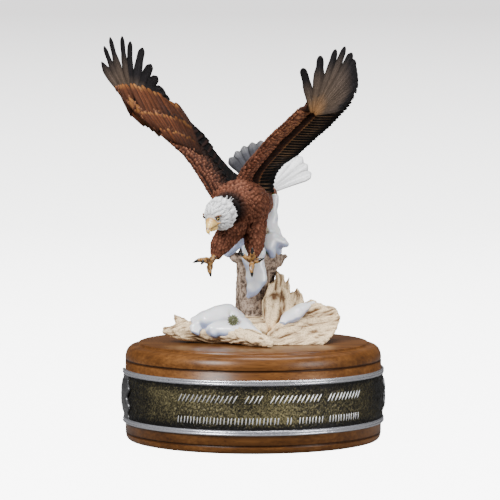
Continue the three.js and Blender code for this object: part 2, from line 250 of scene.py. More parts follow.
@dataclass
class Limb:
    """A rounded form along a route, with its half sizes across and through it."""

    anchors: Sequence[Point]
    wide: Sequence[float]
    deep: Sequence[float] | None = None
    hint: Point = (0, 0, 1)

    def __post_init__(self) -> None:
        """Makes the route."""
        self.route = Route(self.anchors)

    def axes(self, v: Array) -> tuple[Array, Array, Array]:
        """The unit directions along, across and through the limb at places along it."""
        ahead = self.route.heading(v)
        across = unit(np.cross(ahead, np.array(self.hint, float)))
        return ahead, across, unit(np.cross(across, ahead))

    def at(self, u: Array, v: Array) -> Array:
        """Points on the limb.

        Args:
            u: places round it.
            v: places along it.

        Returns:
            Rows of points in metres.
        """
        _, across, through = self.axes(v)
        turn = u * 2 * math.pi
        wide = along(self.wide, v) * MM
        deep = along(self.deep or self.wide, v) * MM
        return (
            self.route.at(v)
            + across * (np.cos(turn) * wide)[..., None]
            + through * (np.sin(turn) * deep)[..., None]
        )


@dataclass
class WingArm:
    """The arm of a wing between its leading and trailing edges, thick at the shoulder."""

    leading: Sequence[Point]
    trailing: Sequence[Point]
    outside: Point
    thick: Sequence[float]
    camber: float = 0.07

    CHORD = (0, 0.1, 0.35, 0.7, 1)
    BACK = (0, 0.8, 1, 0.55, 0.16)
    BELLY = (0, -0.7, -0.6, -0.3, 0.16)

    def __post_init__(self) -> None:
        """Makes the two edges' routes."""
        self.front = Route(self.leading)
        self.rear = Route(self.trailing)

    def normal(self, s: Array) -> Array:
        """The unit direction out of the wing's back.

        Args:
            s: places along the span.

        Returns:
            Rows of directions.
        """
        chord = self.rear.at(s) - self.front.at(s)
        found = unit(np.cross(chord, self.front.heading(s)))
        flip = np.sign((found * np.array(self.outside)).sum(-1, keepdims=True))
        return found * flip

    def skin(self, s: Array, c: Array, side: Array | int) -> Array:
        """Points on one face of the arm.

        Args:
            s: places along the span.
            c: places across it from the leading to the trailing edge.
            side: 1 for the back, -1 for the belly.

        Returns:
            Rows of points in metres.
        """
        nose = self.front.at(s)
        chord = self.rear.at(s) - nose
        depth = along(self.thick, s) * 0.5 * MM
        profile = np.where(np.asarray(side) > 0, np.interp(c, self.CHORD, self.BACK),
                           np.interp(c, self.CHORD, self.BELLY))
        arch = self.camber * np.linalg.norm(chord, axis=-1) * np.sin(math.pi * c)
        return nose + chord * c[..., None] + self.normal(s) * (profile * depth + arch)[..., None]

    def point(self, s: float, c: float, side: int) -> Array:
        """One point of a face, at span s and chord c."""
        return self.skin(np.array([s]), np.array([c]), side)[0]

    def at(self, u: Array, v: Array) -> Array:
        """Points round the section: u goes over the back and home under the belly."""
        c = 1 - np.abs(2 * u - 1)
        return self.skin(v, c, np.where(u <= 0.5, 1, -1))


# ---- mesh making


def read_points(mesh: Mesh) -> Array:
    """The mesh's points as rows."""
    found = np.empty(len(mesh.vertices) * 3)
    mesh.vertices.foreach_get("co", found)
    return found.reshape(-1, 3)


def write_points(mesh: Mesh, points: Array) -> None:
    """Moves the mesh's points to these rows."""
    mesh.vertices.foreach_set("co", np.ascontiguousarray(points, np.float32).ravel())
    mesh.update()


def point_normals(mesh: Mesh) -> Array:
    """The mesh's unit point normals as rows."""
    found = np.empty(len(mesh.vertices) * 3, np.float32)
    mesh.vertices.foreach_get("normal", found)
    return found.reshape(-1, 3).astype(float)


def put_colors(mesh: Mesh, colors: Array | Color) -> None:
    """Stores a paint colour for each point.

    Args:
        mesh: the mesh to paint.
        colors: a row for each point, or one colour for all.
    """
    layer = mesh.color_attributes.new(name="paint", type="FLOAT_COLOR", domain="POINT")
    rgba = np.ones((len(mesh.vertices), 4), np.float32)
    rgba[:, :3] = np.clip(colors, 0, 1)
    layer.data.foreach_set("color", rgba.ravel())


def as_mesh(bm: Form, name: str) -> Mesh:
    """A smooth-shaded mesh from a bmesh.

    Args:
        bm: the shape; it is freed.
        name: its name.

    Returns:
        The mesh.
    """
    mesh = bpy.data.meshes.new(name)
    for face in bm.faces:
        face.smooth = True
    bm.to_mesh(mesh)
    bm.free()
    return mesh


def wrapped(surface: Surface, round_steps: int, long_steps: int) -> Form:
    """A closed skin over a surface: a grid is rolled round it, sewn and capped.

    Args:
        surface: the form to cover.
        round_steps: faces once round it.
        long_steps: faces along it.

    Returns:
        The skin, with its faces pointing out.
    """
    bm = bmesh.new()
    ops.create_grid(bm, x_segments=round_steps, y_segments=long_steps, size=1)
    flat = np.array([v.co for v in bm.verts])
    places = surface.at((flat[:, 0] + 1) / 2, (flat[:, 1] + 1) / 2)
    for vert, place in zip(bm.verts, places):
        vert.co = place
    ops.remove_doubles(bm, verts=bm.verts, dist=1e-6)
    ops.holes_fill(bm, edges=[e for e in bm.edges if e.is_boundary], sides=0)
    ops.recalc_face_normals(bm, faces=bm.faces)
    return bm


def walled_grid(across: int, along: int) -> Form:
    """A flat grid from -1 to 1 whose rim is drawn down by 1 and closed below.

    Args:
        across: faces from side to side.
        along: faces from end to end.

    Returns:
        The closed solid.
    """
    bm = bmesh.new()
    ops.create_grid(bm, x_segments=across, y_segments=along, size=1)
    rim = [edge for edge in bm.edges if edge.is_boundary]
    made = ops.extrude_edge_only(bm, edges=rim)["geom"]
    walls = [item for item in made if isinstance(item, bmesh.types.BMVert)]
    ops.translate(bm, verts=walls, vec=(0, 0, -1))
    ops.holes_fill(bm, edges=[e for e in bm.edges if e.is_boundary], sides=0)
    return bm


def faced_out(mesh: Mesh) -> Form:
    """The shape of a mesh, its faces turned outwards.

    Args:
        mesh: the mesh; it stays.

    Returns:
        The shape, to be freed by the caller.
    """
    bm = bmesh.new()
    bm.from_mesh(mesh)
    ops.recalc_face_normals(bm, faces=bm.faces)
    return bm


def surface_tree(mesh: Mesh) -> BVHTree:
    """The mesh's surface, ready to be asked for its nearest points."""
    return BVHTree.FromPolygons([v.co for v in mesh.vertices], [p.vertices for p in mesh.polygons])


def linked(name: str, data: bpy.types.ID) -> Holder:
    """A new object of the scene that holds the data."""
    holder = bpy.data.objects.new(name, data)
    bpy.context.scene.collection.objects.link(holder)
    return holder


def merged(parts: Sequence[Form], name: str) -> Mesh:
    """Several closed skins as one mesh, not yet fused.

    Args:
        parts: the skins; they are freed.
        name: its name.

    Returns:
        The mesh.
    """
    whole = bmesh.new()
    for index, part in enumerate(parts):
        mesh = as_mesh(part, f"{name}_{index}")
        whole.from_mesh(mesh)
        bpy.data.meshes.remove(mesh)
    return as_mesh(whole, name)


def as_shown(holder: Holder) -> Mesh:
    """A new mesh of what an object shows.

    Args:
        holder: the object; it is removed.

    Returns:
        The mesh.
    """
    graph = bpy.context.evaluated_depsgraph_get()
    found = bpy.data.meshes.new_from_object(holder.evaluated_get(graph))
    bpy.data.objects.remove(holder)
    return found


def with_modifiers(mesh: Mesh, add: Callable[[Holder], None]) -> Mesh:
    """The mesh with modifiers applied.

    Args:
        mesh: the mesh to change; it is removed.
        add: puts the modifiers on a passing object.

    Returns:
        A new mesh under the same name.
    """
    name = mesh.name
    holder = linked(name + "_work", mesh)
    add(holder)
    found = as_shown(holder)
    bpy.data.meshes.remove(mesh)
    found.name = name
    return found


def stacked(mesh: Mesh, count: int) -> Mesh:
    """Many copies of a mesh in one place, still to be laid out.

    Args:
        mesh: the pattern; it is removed.
        count: how many.

    Returns:
        One mesh of them all.
    """
    def repeat(holder: Holder) -> None:
        """Puts the array on the passing object."""
        copies = holder.modifiers.new("copies", "ARRAY")
        copies.count = count
        copies.use_relative_offset = False
        copies.use_constant_offset = True
        copies.constant_offset_displace = (0, 0, 0)

    return with_modifiers(mesh, repeat)


def fused(mesh: Mesh, voxel: float, rounds: int = 4) -> Mesh:
    """Overlapping skins melted into one, then softened.

    Args:
        mesh: the skins; it is removed.
        voxel: the size of the grid they are melted on, in metres.
        rounds: how often the result is softened.

    Returns:
        One even skin of quads.
    """
    def melt(holder: Holder) -> None:
        """Puts the remesh and the softening on the passing object."""
        remesh = holder.modifiers.new("melt", "REMESH")
        remesh.mode = "VOXEL"
        remesh.voxel_size = voxel
        remesh.use_smooth_shade = True
        soften = holder.modifiers.new("soften", "SMOOTH")
        soften.factor = 0.5
        soften.iterations = rounds

    return with_modifiers(mesh, melt)


def show(
    mesh: Mesh, finish: Material, slot: str, node: str
) -> Holder:
    """Puts a finished mesh in the scene as a piece of the object.

    Args:
        mesh: its mesh, in place.
        finish: its material.
        slot: the record's material slot it stands for.
        node: the CAD node it stands for.

    Returns:
        The piece.
    """
    piece = linked(mesh.name, mesh)
    mesh.materials.clear()
    mesh.materials.append(finish)
    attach(piece, BODY)
    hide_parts(node)
    LOG.info("%s: %d faces, slot %s", piece.name, len(mesh.polygons), slot)
    return piece


# ---- finishes


class Shader:
    """A material's node tree with short ways to add and join nodes."""

    def __init__(self, name: str) -> None:
        """Starts a material with its principled shader.

        Args:
            name: the material's name.
        """
        self.material = bpy.data.materials.new(name)
        self.material.use_nodes = True
        self.tree = self.material.node_tree
        self.surface = self.tree.nodes["Principled BSDF"]

    def node(self, kind: str, **inputs: object) -> bpy.types.Node:
        """Adds a node.

        Args:
            kind: its type's name without the ShaderNode before it.
            inputs: values or sockets for its inputs, with spaces as underscores.

        Returns:
            The node.
        """
        made = self.tree.nodes.new("ShaderNode" + kind)
        for key, value in inputs.items():
            self.give(made.inputs[key.replace("_", " ")], value)
        return made

    def give(self, socket: Socket, value: object) -> None:
        """Sets a socket's value, or links another socket to it.

        Args:
            socket: the input to set.
            value: a number, a colour or a socket.
        """
        if isinstance(value, Socket):
            self.tree.links.new(value, socket)
        elif isinstance(value, tuple) and socket.type == "RGBA":
            socket.default_value = (*value[:3], 1)
        else:
            socket.default_value = value

    def set(self, **inputs: object) -> None:
        """Sets or links the principled shader's own inputs."""
        for key, value in inputs.items():
            self.give(self.surface.inputs[key.replace("_", " ")], value)

    def spot(self, scale: Point = (1, 1, 1)) -> Socket:
        """Object coordinates, stretched."""
        mapping = self.node("Mapping", Vector=self.node("TexCoord").outputs["Object"])
        mapping.inputs["Scale"].default_value = scale
        return mapping.outputs["Vector"]

    def stored(self, name: str, output: str = "Color") -> Socket:
        """An attribute of the mesh."""
        made = self.node("Attribute")
        made.attribute_name = name
        return made.outputs[output]

    def axes(self) -> dict[str, Socket]:
        """Object coordinates, apart as X, Y and Z."""
        return self.node("SeparateXYZ", Vector=self.spot()).outputs

    def noise(self, where: Socket, scale: float, detail: float = 3) -> Socket:
        """A noise texture's value."""
        return self.node("TexNoise", Vector=where, Scale=scale, Detail=detail).outputs["Fac"]

    def math(self, operation: str, *values: object) -> Socket:
        """A math node's result.

        Args:
            operation: its operation.
            values: numbers or sockets for its inputs, in order.

        Returns:
            The result's socket.
        """
        made = self.tree.nodes.new("ShaderNodeMath")
        made.operation = operation
        for socket, value in zip(made.inputs, values):
            self.give(socket, value)
        return made.outputs[0]

    def ramp(
        self, value: Socket, stops: Sequence[tuple[float, Color]]
    ) -> Socket:
        """A colour ramp over a value.

        Args:
            value: the socket that picks the place.
            stops: places from 0 to 1 with their colours.

        Returns:
            The colour's socket.
        """
        made = self.node("ValToRGB", Fac=value)
        elements = made.color_ramp.elements
        while len(elements) < len(stops):
            elements.new(0.5)
        for element, (place, color) in zip(elements, stops):
            element.position = place
            element.color = (*color, 1)
        return made.outputs["Color"]

    def mix(self, share: object, first: object, second: object, mode: str = "MIX") -> Socket:
        """Two colours mixed.

        Args:
            share: how much of the second is taken.
            first: a colour or its socket.
            second: a colour or its socket.
            mode: how they mix.

        Returns:
            The colour's socket.
        """
        made = self.tree.nodes.new("ShaderNodeMix")
        made.data_type = "RGBA"
        made.blend_type = mode
        for socket, value in zip((made.inputs[0], made.inputs[6], made.inputs[7]), (share, first, second)):
            self.give(socket, value)
        return made.outputs[2]

    def bump(self, height: Socket, depth: float, strength: float = 1.0) -> None:
        """Adds relief from a height, depth metres from its lowest to its highest."""
        made = self.node("Bump", Height=height, Distance=depth, Strength=strength)
        self.set(Normal=made.outputs["Normal"])


@dataclass(frozen=True)
class WalnutFinish:
    """Satin lacquered walnut with its grain running from left to right, and painted shade in its two grooves.
    """

    light: Color = paint(156, 108, 66)
    middle: Color = paint(126, 82, 46)
    dark: Color = paint(82, 50, 26)
    roughness: float = 0.34
    grooves: tuple[float, float] = (0.0074, 0.0784)
    groove_shade_reach: float = 0.0016

    def build(self) -> Material:
        """Makes the finish.

        Returns:
            Its material.
        """
        shader = Shader("walnut_lacquer")
        drift = shader.noise(shader.spot((1.6, 12, 20)), 1.0, 1)
        figure = shader.noise(shader.spot((3.2, 60, 110)), 1.0, 4)
        streaks = shader.noise(shader.spot((14, 330, 420)), 1.0, 3)
        pores = shader.noise(shader.spot((45, 1300, 1500)), 1.0, 1)
        value = shader.math("MULTIPLY_ADD", figure, 0.5, shader.math("MULTIPLY", streaks, 0.5))
        value = shader.math("MULTIPLY_ADD", drift, 0.15, value)
        level = shader.axes()["Z"]
        # Painted shade: a thin dark band at each groove's height, where shade falls in the cut.
        for groove in self.grooves:
            away = shader.math("ABSOLUTE", shader.math("SUBTRACT", level, groove))
            groove_shade = shader.math("MULTIPLY_ADD", away, -1 / self.groove_shade_reach, 1.0)
            groove_shade = shader.math("MAXIMUM", groove_shade, 0.0)
            value = shader.math("MULTIPLY_ADD", groove_shade, -0.5, value)
        tone = shader.ramp(value, [(0.34, self.dark), (0.56, self.middle), (0.78, self.light)])
        pits = shader.ramp(pores, [(0.3, (0.35, 0.3, 0.28)), (0.42, (1, 1, 1))])
        shader.set(Base_Color=shader.mix(0.75, tone, pits, "MULTIPLY"), Roughness=self.roughness)
        shader.set(Coat_Weight=0.14, Coat_Roughness=0.28, Specular_IOR_Level=0.14)
        shader.bump(pores, 0.00012, 0.4)
        return shader.material


@dataclass(frozen=True)
class StippleFinish:
    """Dark antiqued metal, with an olive-gold fleck on its high spots and painted shade towards its edges and
    ends.
    """

    ground: Color = paint(26, 24, 23)
    fleck: Color = paint(176, 164, 122)
    middle: float = 0.0442
    half_height: float = 0.0195
    reach: float = 0.126

    def build(self) -> Material:
        """Makes the finish.

        Returns:
            Its material.
        """
        shader = Shader("stippled_ground")
        grit = shader.noise(shader.spot(), 2300, 1)
        cloud = shader.noise(shader.spot(), 24, 1)
        height = shader.stored("height", "Fac")
        high = shader.math("MULTIPLY_ADD", height, 0.16, shader.math("MULTIPLY", grit, 0.95))
        high = shader.math("MULTIPLY_ADD", cloud, 0.32, high)
        # Painted shade: the ground darkens towards its top and bottom edges and towards both ends, which
        # leaves a lighter sheen in the middle.
        place = shader.axes()
        tall = shader.math("MULTIPLY_ADD", place["Z"], 1 / self.half_height, -self.middle / self.half_height)
        tall = shader.math("POWER", shader.math("ABSOLUTE", tall), 5.0)
        wide = shader.math("ABSOLUTE", shader.math("MULTIPLY", place["X"], 1 / self.reach))
        wide = shader.math("POWER", wide, 8.0)
        high = shader.math("MULTIPLY_ADD", shader.math("MAXIMUM", tall, wide), -0.24, high)
        tone = shader.ramp(high, [(0.58, self.ground), (0.72, paint(84, 78, 56)), (0.86, self.fleck)])
        shader.set(Base_Color=tone, Roughness=0.42, Metallic=0.7)
        shader.bump(grit, 0.0003, 0.6)
        return shader.material


@dataclass(frozen=True)
class PewterFinish:
    """Bright cast pewter, darker in its hollows."""

    name: str = "bright_pewter"
    light: Color = paint(222, 222, 228)
    dark: Color = paint(120, 120, 124)
    roughness: float = 0.3

    def build(self) -> Material:
        """Makes the finish.

        Returns:
            Its material.
        """
        shader = Shader(self.name)
        wear = shader.noise(shader.spot(), 900, 2)
        tone = shader.ramp(wear, [(0.22, self.dark), (0.42, self.light)])
        shader.set(Base_Color=tone, Metallic=0.85, Roughness=self.roughness)
        shader.bump(wear, 0.00008, 0.4)
        return shader.material


@dataclass(frozen=True)
class PlumeFinish:
    """Painted feathers: the paint attribute, with barbs combed out from each shaft."""

    name: str
    barbs: float
    roughness: float = 0.55
    comb: float = 0.16
    relief: float = 0.00025

    def build(self) -> Material:
        """Makes the finish.

        Returns:
            Its material.
        """
        shader = Shader(self.name)
        place = shader.node("UVMap")
        place.uv_map = "barbs"
        axes = shader.node("SeparateXYZ", Vector=place.outputs["UV"]).outputs
        slope = shader.math("ABSOLUTE", shader.math("SUBTRACT", axes["X"], 0.5))
        rise = shader.math("MULTIPLY", axes["Y"], self.barbs)
        phase = shader.math("MULTIPLY_ADD", slope, -0.9 * self.barbs, rise)
        wander = shader.noise(shader.spot(), 420, 2)
        phase = shader.math("MULTIPLY_ADD", wander, 1.2, phase)
        comb = shader.math("SINE", shader.math("MULTIPLY", phase, 2 * math.pi))
        grit = shader.noise(shader.spot(), 700, 2)
        value = shader.math("MULTIPLY_ADD", comb, self.comb, shader.math("MULTIPLY_ADD", grit, 0.7, 0.65))
        gray = shader.node("CombineXYZ", X=value, Y=value, Z=value).outputs["Vector"]
        shader.set(Base_Color=shader.mix(1.0, shader.stored("paint"), gray, "MULTIPLY"))
        shader.set(Roughness=self.roughness, Specular_IOR_Level=0.07)
        height = shader.math("MULTIPLY_ADD", comb, 0.5, grit)
        shader.bump(height, self.relief, 0.7)
        return shader.material


@dataclass(frozen=True)
class WashedFinish:
    """Cast relief in matt paint: the paint attribute with a fine grit."""

    name: str
    grit: float = 900
    relief: float = 0.0003
    roughness: float = 0.75
    speck: Color = (0.46, 0.4, 0.34)

    def build(self) -> Material:
        """Makes the finish.

        Returns:
            Its material.
        """
        shader = Shader(self.name)
        speckle = shader.noise(shader.spot(), self.grit, 3)
        tone = shader.ramp(speckle, [(0.34, self.speck), (0.52, (1, 1, 1))])
        shader.set(Base_Color=shader.mix(0.8, shader.stored("paint"), tone, "MULTIPLY"))
        shader.set(Roughness=self.roughness, Specular_IOR_Level=0.15)
        shader.bump(speckle, self.relief, 0.8)
        return shader.material


@dataclass(frozen=True)
class SnowFinish:
    """Glossy white snow, with a cool blue painted shade where it turns down."""

    white: Color = paint(244, 245, 248)
    shade: Color = paint(178, 190, 222)

    def build(self) -> Material:
        """Makes the finish.

        Returns:
            Its material.
        """
        shader = Shader("glossy_snow")
        # Painted shade: faces that turn down go cool blue.
        facing = shader.node("SeparateXYZ", Vector=shader.node("NewGeometry").outputs["Normal"])
        drift = shader.noise(shader.spot(), 60, 2)
        value = shader.math("MULTIPLY_ADD", drift, 0.5, facing.outputs["Z"])
        tone = shader.ramp(value, [(0.0, self.shade), (0.42, self.white)])
        shader.set(Base_Color=tone, Roughness=0.32, Coat_Weight=0.5, Coat_Roughness=0.08)
        shader.set(Subsurface_Weight=0.15, Subsurface_Scale=0.002)
        shader.bump(shader.noise(shader.spot(), 300, 2), 0.0002, 0.3)
        return shader.material


@dataclass(frozen=True)
class GlossFinish:
    """Gloss paint over the paint attribute, as on the eyes, beak, feet and talons."""

    name: str
    roughness: float = 0.3
    grit: float = 0.5

    def build(self) -> Material:
        """Makes the finish.

        Returns:
            Its material.
        """
        shader = Shader(self.name)
        wash = shader.noise(shader.spot(), 500, 3)
        tone = shader.ramp(wash, [(0.3, (0.55, 0.45, 0.35)), (0.62, (1, 1, 1))])
        shader.set(Base_Color=shader.mix(self.grit, shader.stored("paint"), tone, "MULTIPLY"))
        shader.set(Roughness=self.roughness, Coat_Weight=0.3, Coat_Roughness=0.1)
        shader.bump(wash, 0.0002, 0.4)
        return shader.material


# ---- feathers


class Cut(Enum):
    """The outlines a feather may have, as half widths at even places from root to tip."""

    SCALE = (0.55, 0.88, 1.0, 0.92, 0.62, 0.12)
    LANCE = (0.7, 0.95, 1.0, 0.78, 0.45, 0.06)


@dataclass
class Feather:
    """One feather's place: its root, its direction, its size in metres and its colours."""

    root: Array
    flow: Array
    length: float
    half: float
    base: Array
    tip: Array
    lift: float


@dataclass
class Plumage:
    """Many small feathers of one cut that lie on a skin, made as one mesh.

    Each is a crowned scale whose walls go down into the skin. Painted shade, which also stands for the cast's
    dark wash, darkens its root, its sides and its walls.
    """

    name: str
    cut: Cut
    across: int = 2
    along: int = 5
    crown: float = 0.16
    sink: float = 0.0009
    wash_and_shade: float = 0.65
    stray: float = 0.004

    def __post_init__(self) -> None:
        """Starts an empty coat."""
        self.feathers: list[Feather] = []

    def template(self, count: int) -> Mesh:
        """Scales in one place, still to be laid.

        Args:
            count: how many.

        Returns:
            One mesh.
        """
        bm = walled_grid(self.across, self.along)
        ops.recalc_face_normals(bm, faces=bm.faces)
        if sum(face.normal.z for face in bm.faces if len(face.verts) > 4) > 0:
            ops.reverse_faces(bm, faces=bm.faces)
        return stacked(as_mesh(bm, self.name), count)

    def lay(self, skin: BVHTree) -> Mesh:
        """Lays every feather down on the skin.

        Args:
            skin: the surface they follow.

        Returns:
            The coat as one mesh with its paint and its two maps.
        """
        count = len(self.feathers)
        mesh = self.template(count)
        flat = read_points(mesh).reshape(count, -1, 3)
        p, q, wall = flat[0, :, 0], (flat[0, :, 1] + 1) / 2, flat[0, :, 2] < -0.5
        outline = np.interp(q, np.linspace(0, 1, 6), self.cut.value)
        placed = np.empty_like(flat)
        colors = np.empty_like(flat)
        shape = (1 - p**2)
        for index, feather in enumerate(self.feathers):
            hit, normal, _, _ = skin.find_nearest(Vector(feather.root))
            up = np.array(normal)
            ahead = unit(feather.flow - up * (feather.flow @ up))
            side = np.cross(ahead, up)
            start = np.array(hit)
            height = (feather.lift * (0.25 + 0.75 * q) + self.crown * feather.half * shape)
            height = np.where(wall, -self.sink, height)
            for k in range(len(p)):
                spot = start + ahead * (q[k] * feather.length) + side * (p[k] * outline[k] * feather.half)
                near, out, _, away = skin.find_nearest(Vector(spot))
                if away is None or away > self.stray:
                    near, out = Vector(spot), normal
                placed[index, k] = np.array(near) + np.array(out) * height[k]
            edge = smooth(0.45, 1.0, q) * (0.55 + 0.45 * shape)
            tone = blend(feather.base, feather.tip, edge)
            # Painted shade with the cast's dark wash: darker at the root under the feather before, at the
            # sides and on the hidden walls.
            shadow = 1 - self.wash_and_shade * (1 - smooth(0.0, 0.45, q))
            colors[index] = tone * (shadow * (1 - 0.45 * self.wash_and_shade * p**2))[:, None]
            colors[index][wall] *= 1 - self.wash_and_shade
        write_points(mesh, placed.reshape(-1, 3))
        put_colors(mesh, colors.reshape(-1, 3))
        map_feathers(mesh, count, p, q, wall)
        return mesh


def map_feathers(mesh: Mesh, count: int, p: Array, q: Array, wall: Array) -> None:
    """Gives a coat its barb map, alike on every feather, and a bake map with a cell for each.

    Args:
        mesh: the coat, whose feathers follow each other.
        count: how many feathers it has.
        p: each point's place across its feather, -1 to 1.
        q: each point's place along it, 0 to 1.
        wall: which points are on the hidden side.
    """
    size = len(p)
    corners = np.empty(len(mesh.loops), int)
    mesh.loops.foreach_get("vertex_index", corners)
    bird, local = corners // size, corners % size
    across, up = (p[local] + 1) / 2, q[local]
    combed = mesh.uv_layers.new(name="barbs")
    combed.data.foreach_set("uv", np.stack([across, up], -1).astype(np.float32).ravel())
    side = math.ceil(math.sqrt(count))
    inset = np.where(wall[local], 0.01, 0.09)
    cell = np.stack([bird % side, bird // side], -1)
    place = np.stack([across, up], -1) * (1 - 2 * inset[:, None]) + inset[:, None]
    baked = mesh.uv_layers.new(name="OFBake")
    baked.data.foreach_set("uv", ((cell + place) / side).astype(np.float32).ravel())


@dataclass
class Blade:
    """One long feather: a bent centre line, its face, outline and colours."""

    root: Array
    tip: Array
    bow: Array
    face: Array
    stations: Sequence[tuple[float, float]]
    colors: Sequence[tuple[float, Color | Array]]
    thick: float = 1.6
    edge: Color | Array | None = None

    def bend(self) -> Array:
        """The point that its centre line bends towards."""
        return knee(self.root, self.tip) + self.bow

    def hugs(self, skin: BVHTree, reach: float) -> bool:
        """Whether the whole feather stays within reach, in millimetres, of the skin.

        Args:
            skin: the surface it lies on.
            reach: the furthest that its centre line may stand off.

        Returns:
            True for a feather that lies close.
        """
        bend = self.bend()
        for share in np.linspace(0.2, 1.0, 5):
            left = 1 - share
            spot = self.root * left**2 + bend * 2 * share * left + self.tip * share**2
            if skin.find_nearest(Vector(spot))[3] > reach * MM:
                return False
        return True


@dataclass
class BladeFan:
    """Long feathers with a raised shaft and both faces, made as one mesh."""

    name: str
    across: int = 10
    along: int = 22
    rim: float = 0.7

    def __post_init__(self) -> None:
        """Starts an empty fan."""
        self.blades: list[Blade] = []

    def template(self, count: int) -> Mesh:
        """Two-faced sheets in one place, still to be laid.

        Args:
            count: how many.

        Returns:
            One mesh.
        """
        bm = bmesh.new()
        ops.create_grid(bm, x_segments=self.across, y_segments=self.along, size=1)
        made = ops.extrude_face_region(bm, geom=list(bm.faces), use_keep_orig=True)["geom"]
        lifted = [item for item in made if isinstance(item, bmesh.types.BMVert)]
        ops.translate(bm, verts=lifted, vec=(0, 0, 1))
        ops.recalc_face_normals(bm, faces=bm.faces)
        return stacked(as_mesh(bm, self.name), count)

    def lay(self, seed: int) -> Mesh:
        """Bends every blade into place.

        Args:
            seed: picks the small differences between blades.

        Returns:
            The fan as one mesh with its paint and its two maps.
        """
        count = len(self.blades)
        mesh = self.template(count)
        flat = read_points(mesh).reshape(count, -1, 3)
        p, top = flat[0, :, 0], flat[0, :, 2] > 0.5
        q = 1 - (0.5 - flat[0, :, 1] / 2) ** 1.35
        sign = np.where(top, 1.0, -1.0)
        placed = np.empty_like(flat)
        colors = np.empty_like(flat)
        rng = np.random.default_rng(seed)
        ripple = Noise(seed)
        for index, blade in enumerate(self.blades):
            bent = blade.bend()
            t = q[:, None]
            line = blade.root * (1 - t) ** 2 + bent * 2 * t * (1 - t) + blade.tip * t**2
            ahead = unit((bent - blade.root) * (1 - t) + (blade.tip - bent) * t + 1e-9)
            side = unit(np.cross(ahead, blade.face))
            up = unit(np.cross(side, ahead))
            spots, halves = np.array(blade.stations).T
            half = np.interp(q, spots, halves) * MM
            round_tip = np.sqrt(np.clip(1 - np.clip((q - 0.9) / 0.1, 0, 1) ** 2 * 0.94, 0, 1))
            lens = np.sqrt(np.clip(1 - 0.86 * p**2, 0, 1)) * blade.thick * 0.5 * MM
            shaft = np.exp(-((p / 0.12) ** 2)) * 0.35 * MM * (1 - 0.6 * q)
            layer = np.full_like(p, index * 0.7)
            wave = ripple(np.stack([p * 0.02, q * 0.2, layer], -1), (0.012, 0.03, 1)) * 0.25 * MM
            height = sign * (lens * (1.05 - 0.55 * q) + shaft) + wave
            placed[index] = line + side * (p * half * round_tip)[:, None] + up * height[:, None]
            stops, paints = zip(*blade.colors)
            shade = np.stack([np.interp(q, stops, channel) for channel in np.array(paints).T], -1)
            streak = ripple(np.stack([p * 0.02, q * 0.03, layer], -1), (0.004, 0.03, 1))
            value = rng.uniform(0.85, 1.15) * (1 + 0.25 * streak) * (1 - self.rim * np.abs(p) ** 4)
            value *= 1 + 0.35 * np.exp(-((p / 0.13) ** 2))
            if blade.edge is not None:
                shade = blend(shade, blade.edge, smooth(0.2, 0.6, p) * smooth(0.85, 0.45, q))
            colors[index] = shade * value[:, None]
        write_points(mesh, placed.reshape(-1, 3))
        put_colors(mesh, colors.reshape(-1, 3))
        map_feathers(mesh, count, p * 0.5 * sign + 0.5 * sign, q, np.zeros_like(top))
        return mesh


# ---- the walnut base


@dataclass
class WalnutBase:
    """The turned base: a wall with two cut grooves, a rounded shoulder and a plateau."""

    wall: float = 125.5
    foot: float = 121
    shoulder: float = 116
    plateau: float = 112.5
    rise: float = 3
    low_groove: float = 7.4
    high_groove: float = 78.4
    groove_depth: float = 1.6
    groove_half: float = 0.9
    steps: int = 288

    def profile(self) -> list[tuple[float, float]]:
        """The turned outline.

        Returns:
            Radius and height pairs from the middle of the underside to the top's middle.
        """
        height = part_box("walnut_base")[1].z / MM
        top = height - self.rise
        points = [(0.0, 0.0), (self.foot * 0.5, 0.0), (self.foot - 1, 0.0)]
        for t in np.linspace(0, 1, 6):
            points.append((self.foot + (self.wall - 0.4 - self.foot) * math.sin(t * math.pi / 2),
                           (self.low_groove - 2.2) * (1 - math.cos(t * math.pi / 2)) + 0.2 * t))
        for groove in (self.low_groove, self.high_groove):
            points += [(self.wall, groove - self.groove_half), (self.wall - 0.3, groove - 0.7),
                       (self.wall - self.groove_depth, groove), (self.wall - 0.3, groove + 0.7),
                       (self.wall, groove + self.groove_half)]
        start = self.high_groove + self.groove_half + 0.6
        for t in np.linspace(0, 1, 14):
            turn = t * math.pi / 2
            points.append((self.shoulder + (self.wall - self.shoulder) * math.cos(turn) ** 0.8,
                           start + (top - start) * math.sin(turn)))
        for t in np.linspace(0, 1, 5):
            turn = t * math.pi / 2
            points.append((self.plateau + 1.8 * (1 - math.sin(turn)),
                           top + 0.3 + (self.rise - 1.0) * (1 - math.cos(turn))))
        points += [(self.plateau - 0.25, height - 0.2), (self.plateau - 0.8, height),
                   (self.plateau * 0.5, height), (0.0, height)]
        return points

    def build(self) -> None:
        """Turns the profile and dresses it."""
        bm = bmesh.new()
        verts = [bm.verts.new((r * MM, 0, z * MM)) for r, z in self.profile()]
        edges = [bm.edges.new(pair) for pair in zip(verts, verts[1:])]
        ops.spin(bm, geom=verts + edges, cent=(0, 0, 0), axis=(0, 0, 1),
                       angle=2 * math.pi, steps=self.steps, use_merge=True)
        ops.remove_doubles(bm, verts=bm.verts, dist=1e-6)
        ops.recalc_face_normals(bm, faces=bm.faces)
        show(as_mesh(bm, "walnut_turning"), WalnutFinish().build(), "walnut", "walnut_base")


# ---- the cast band


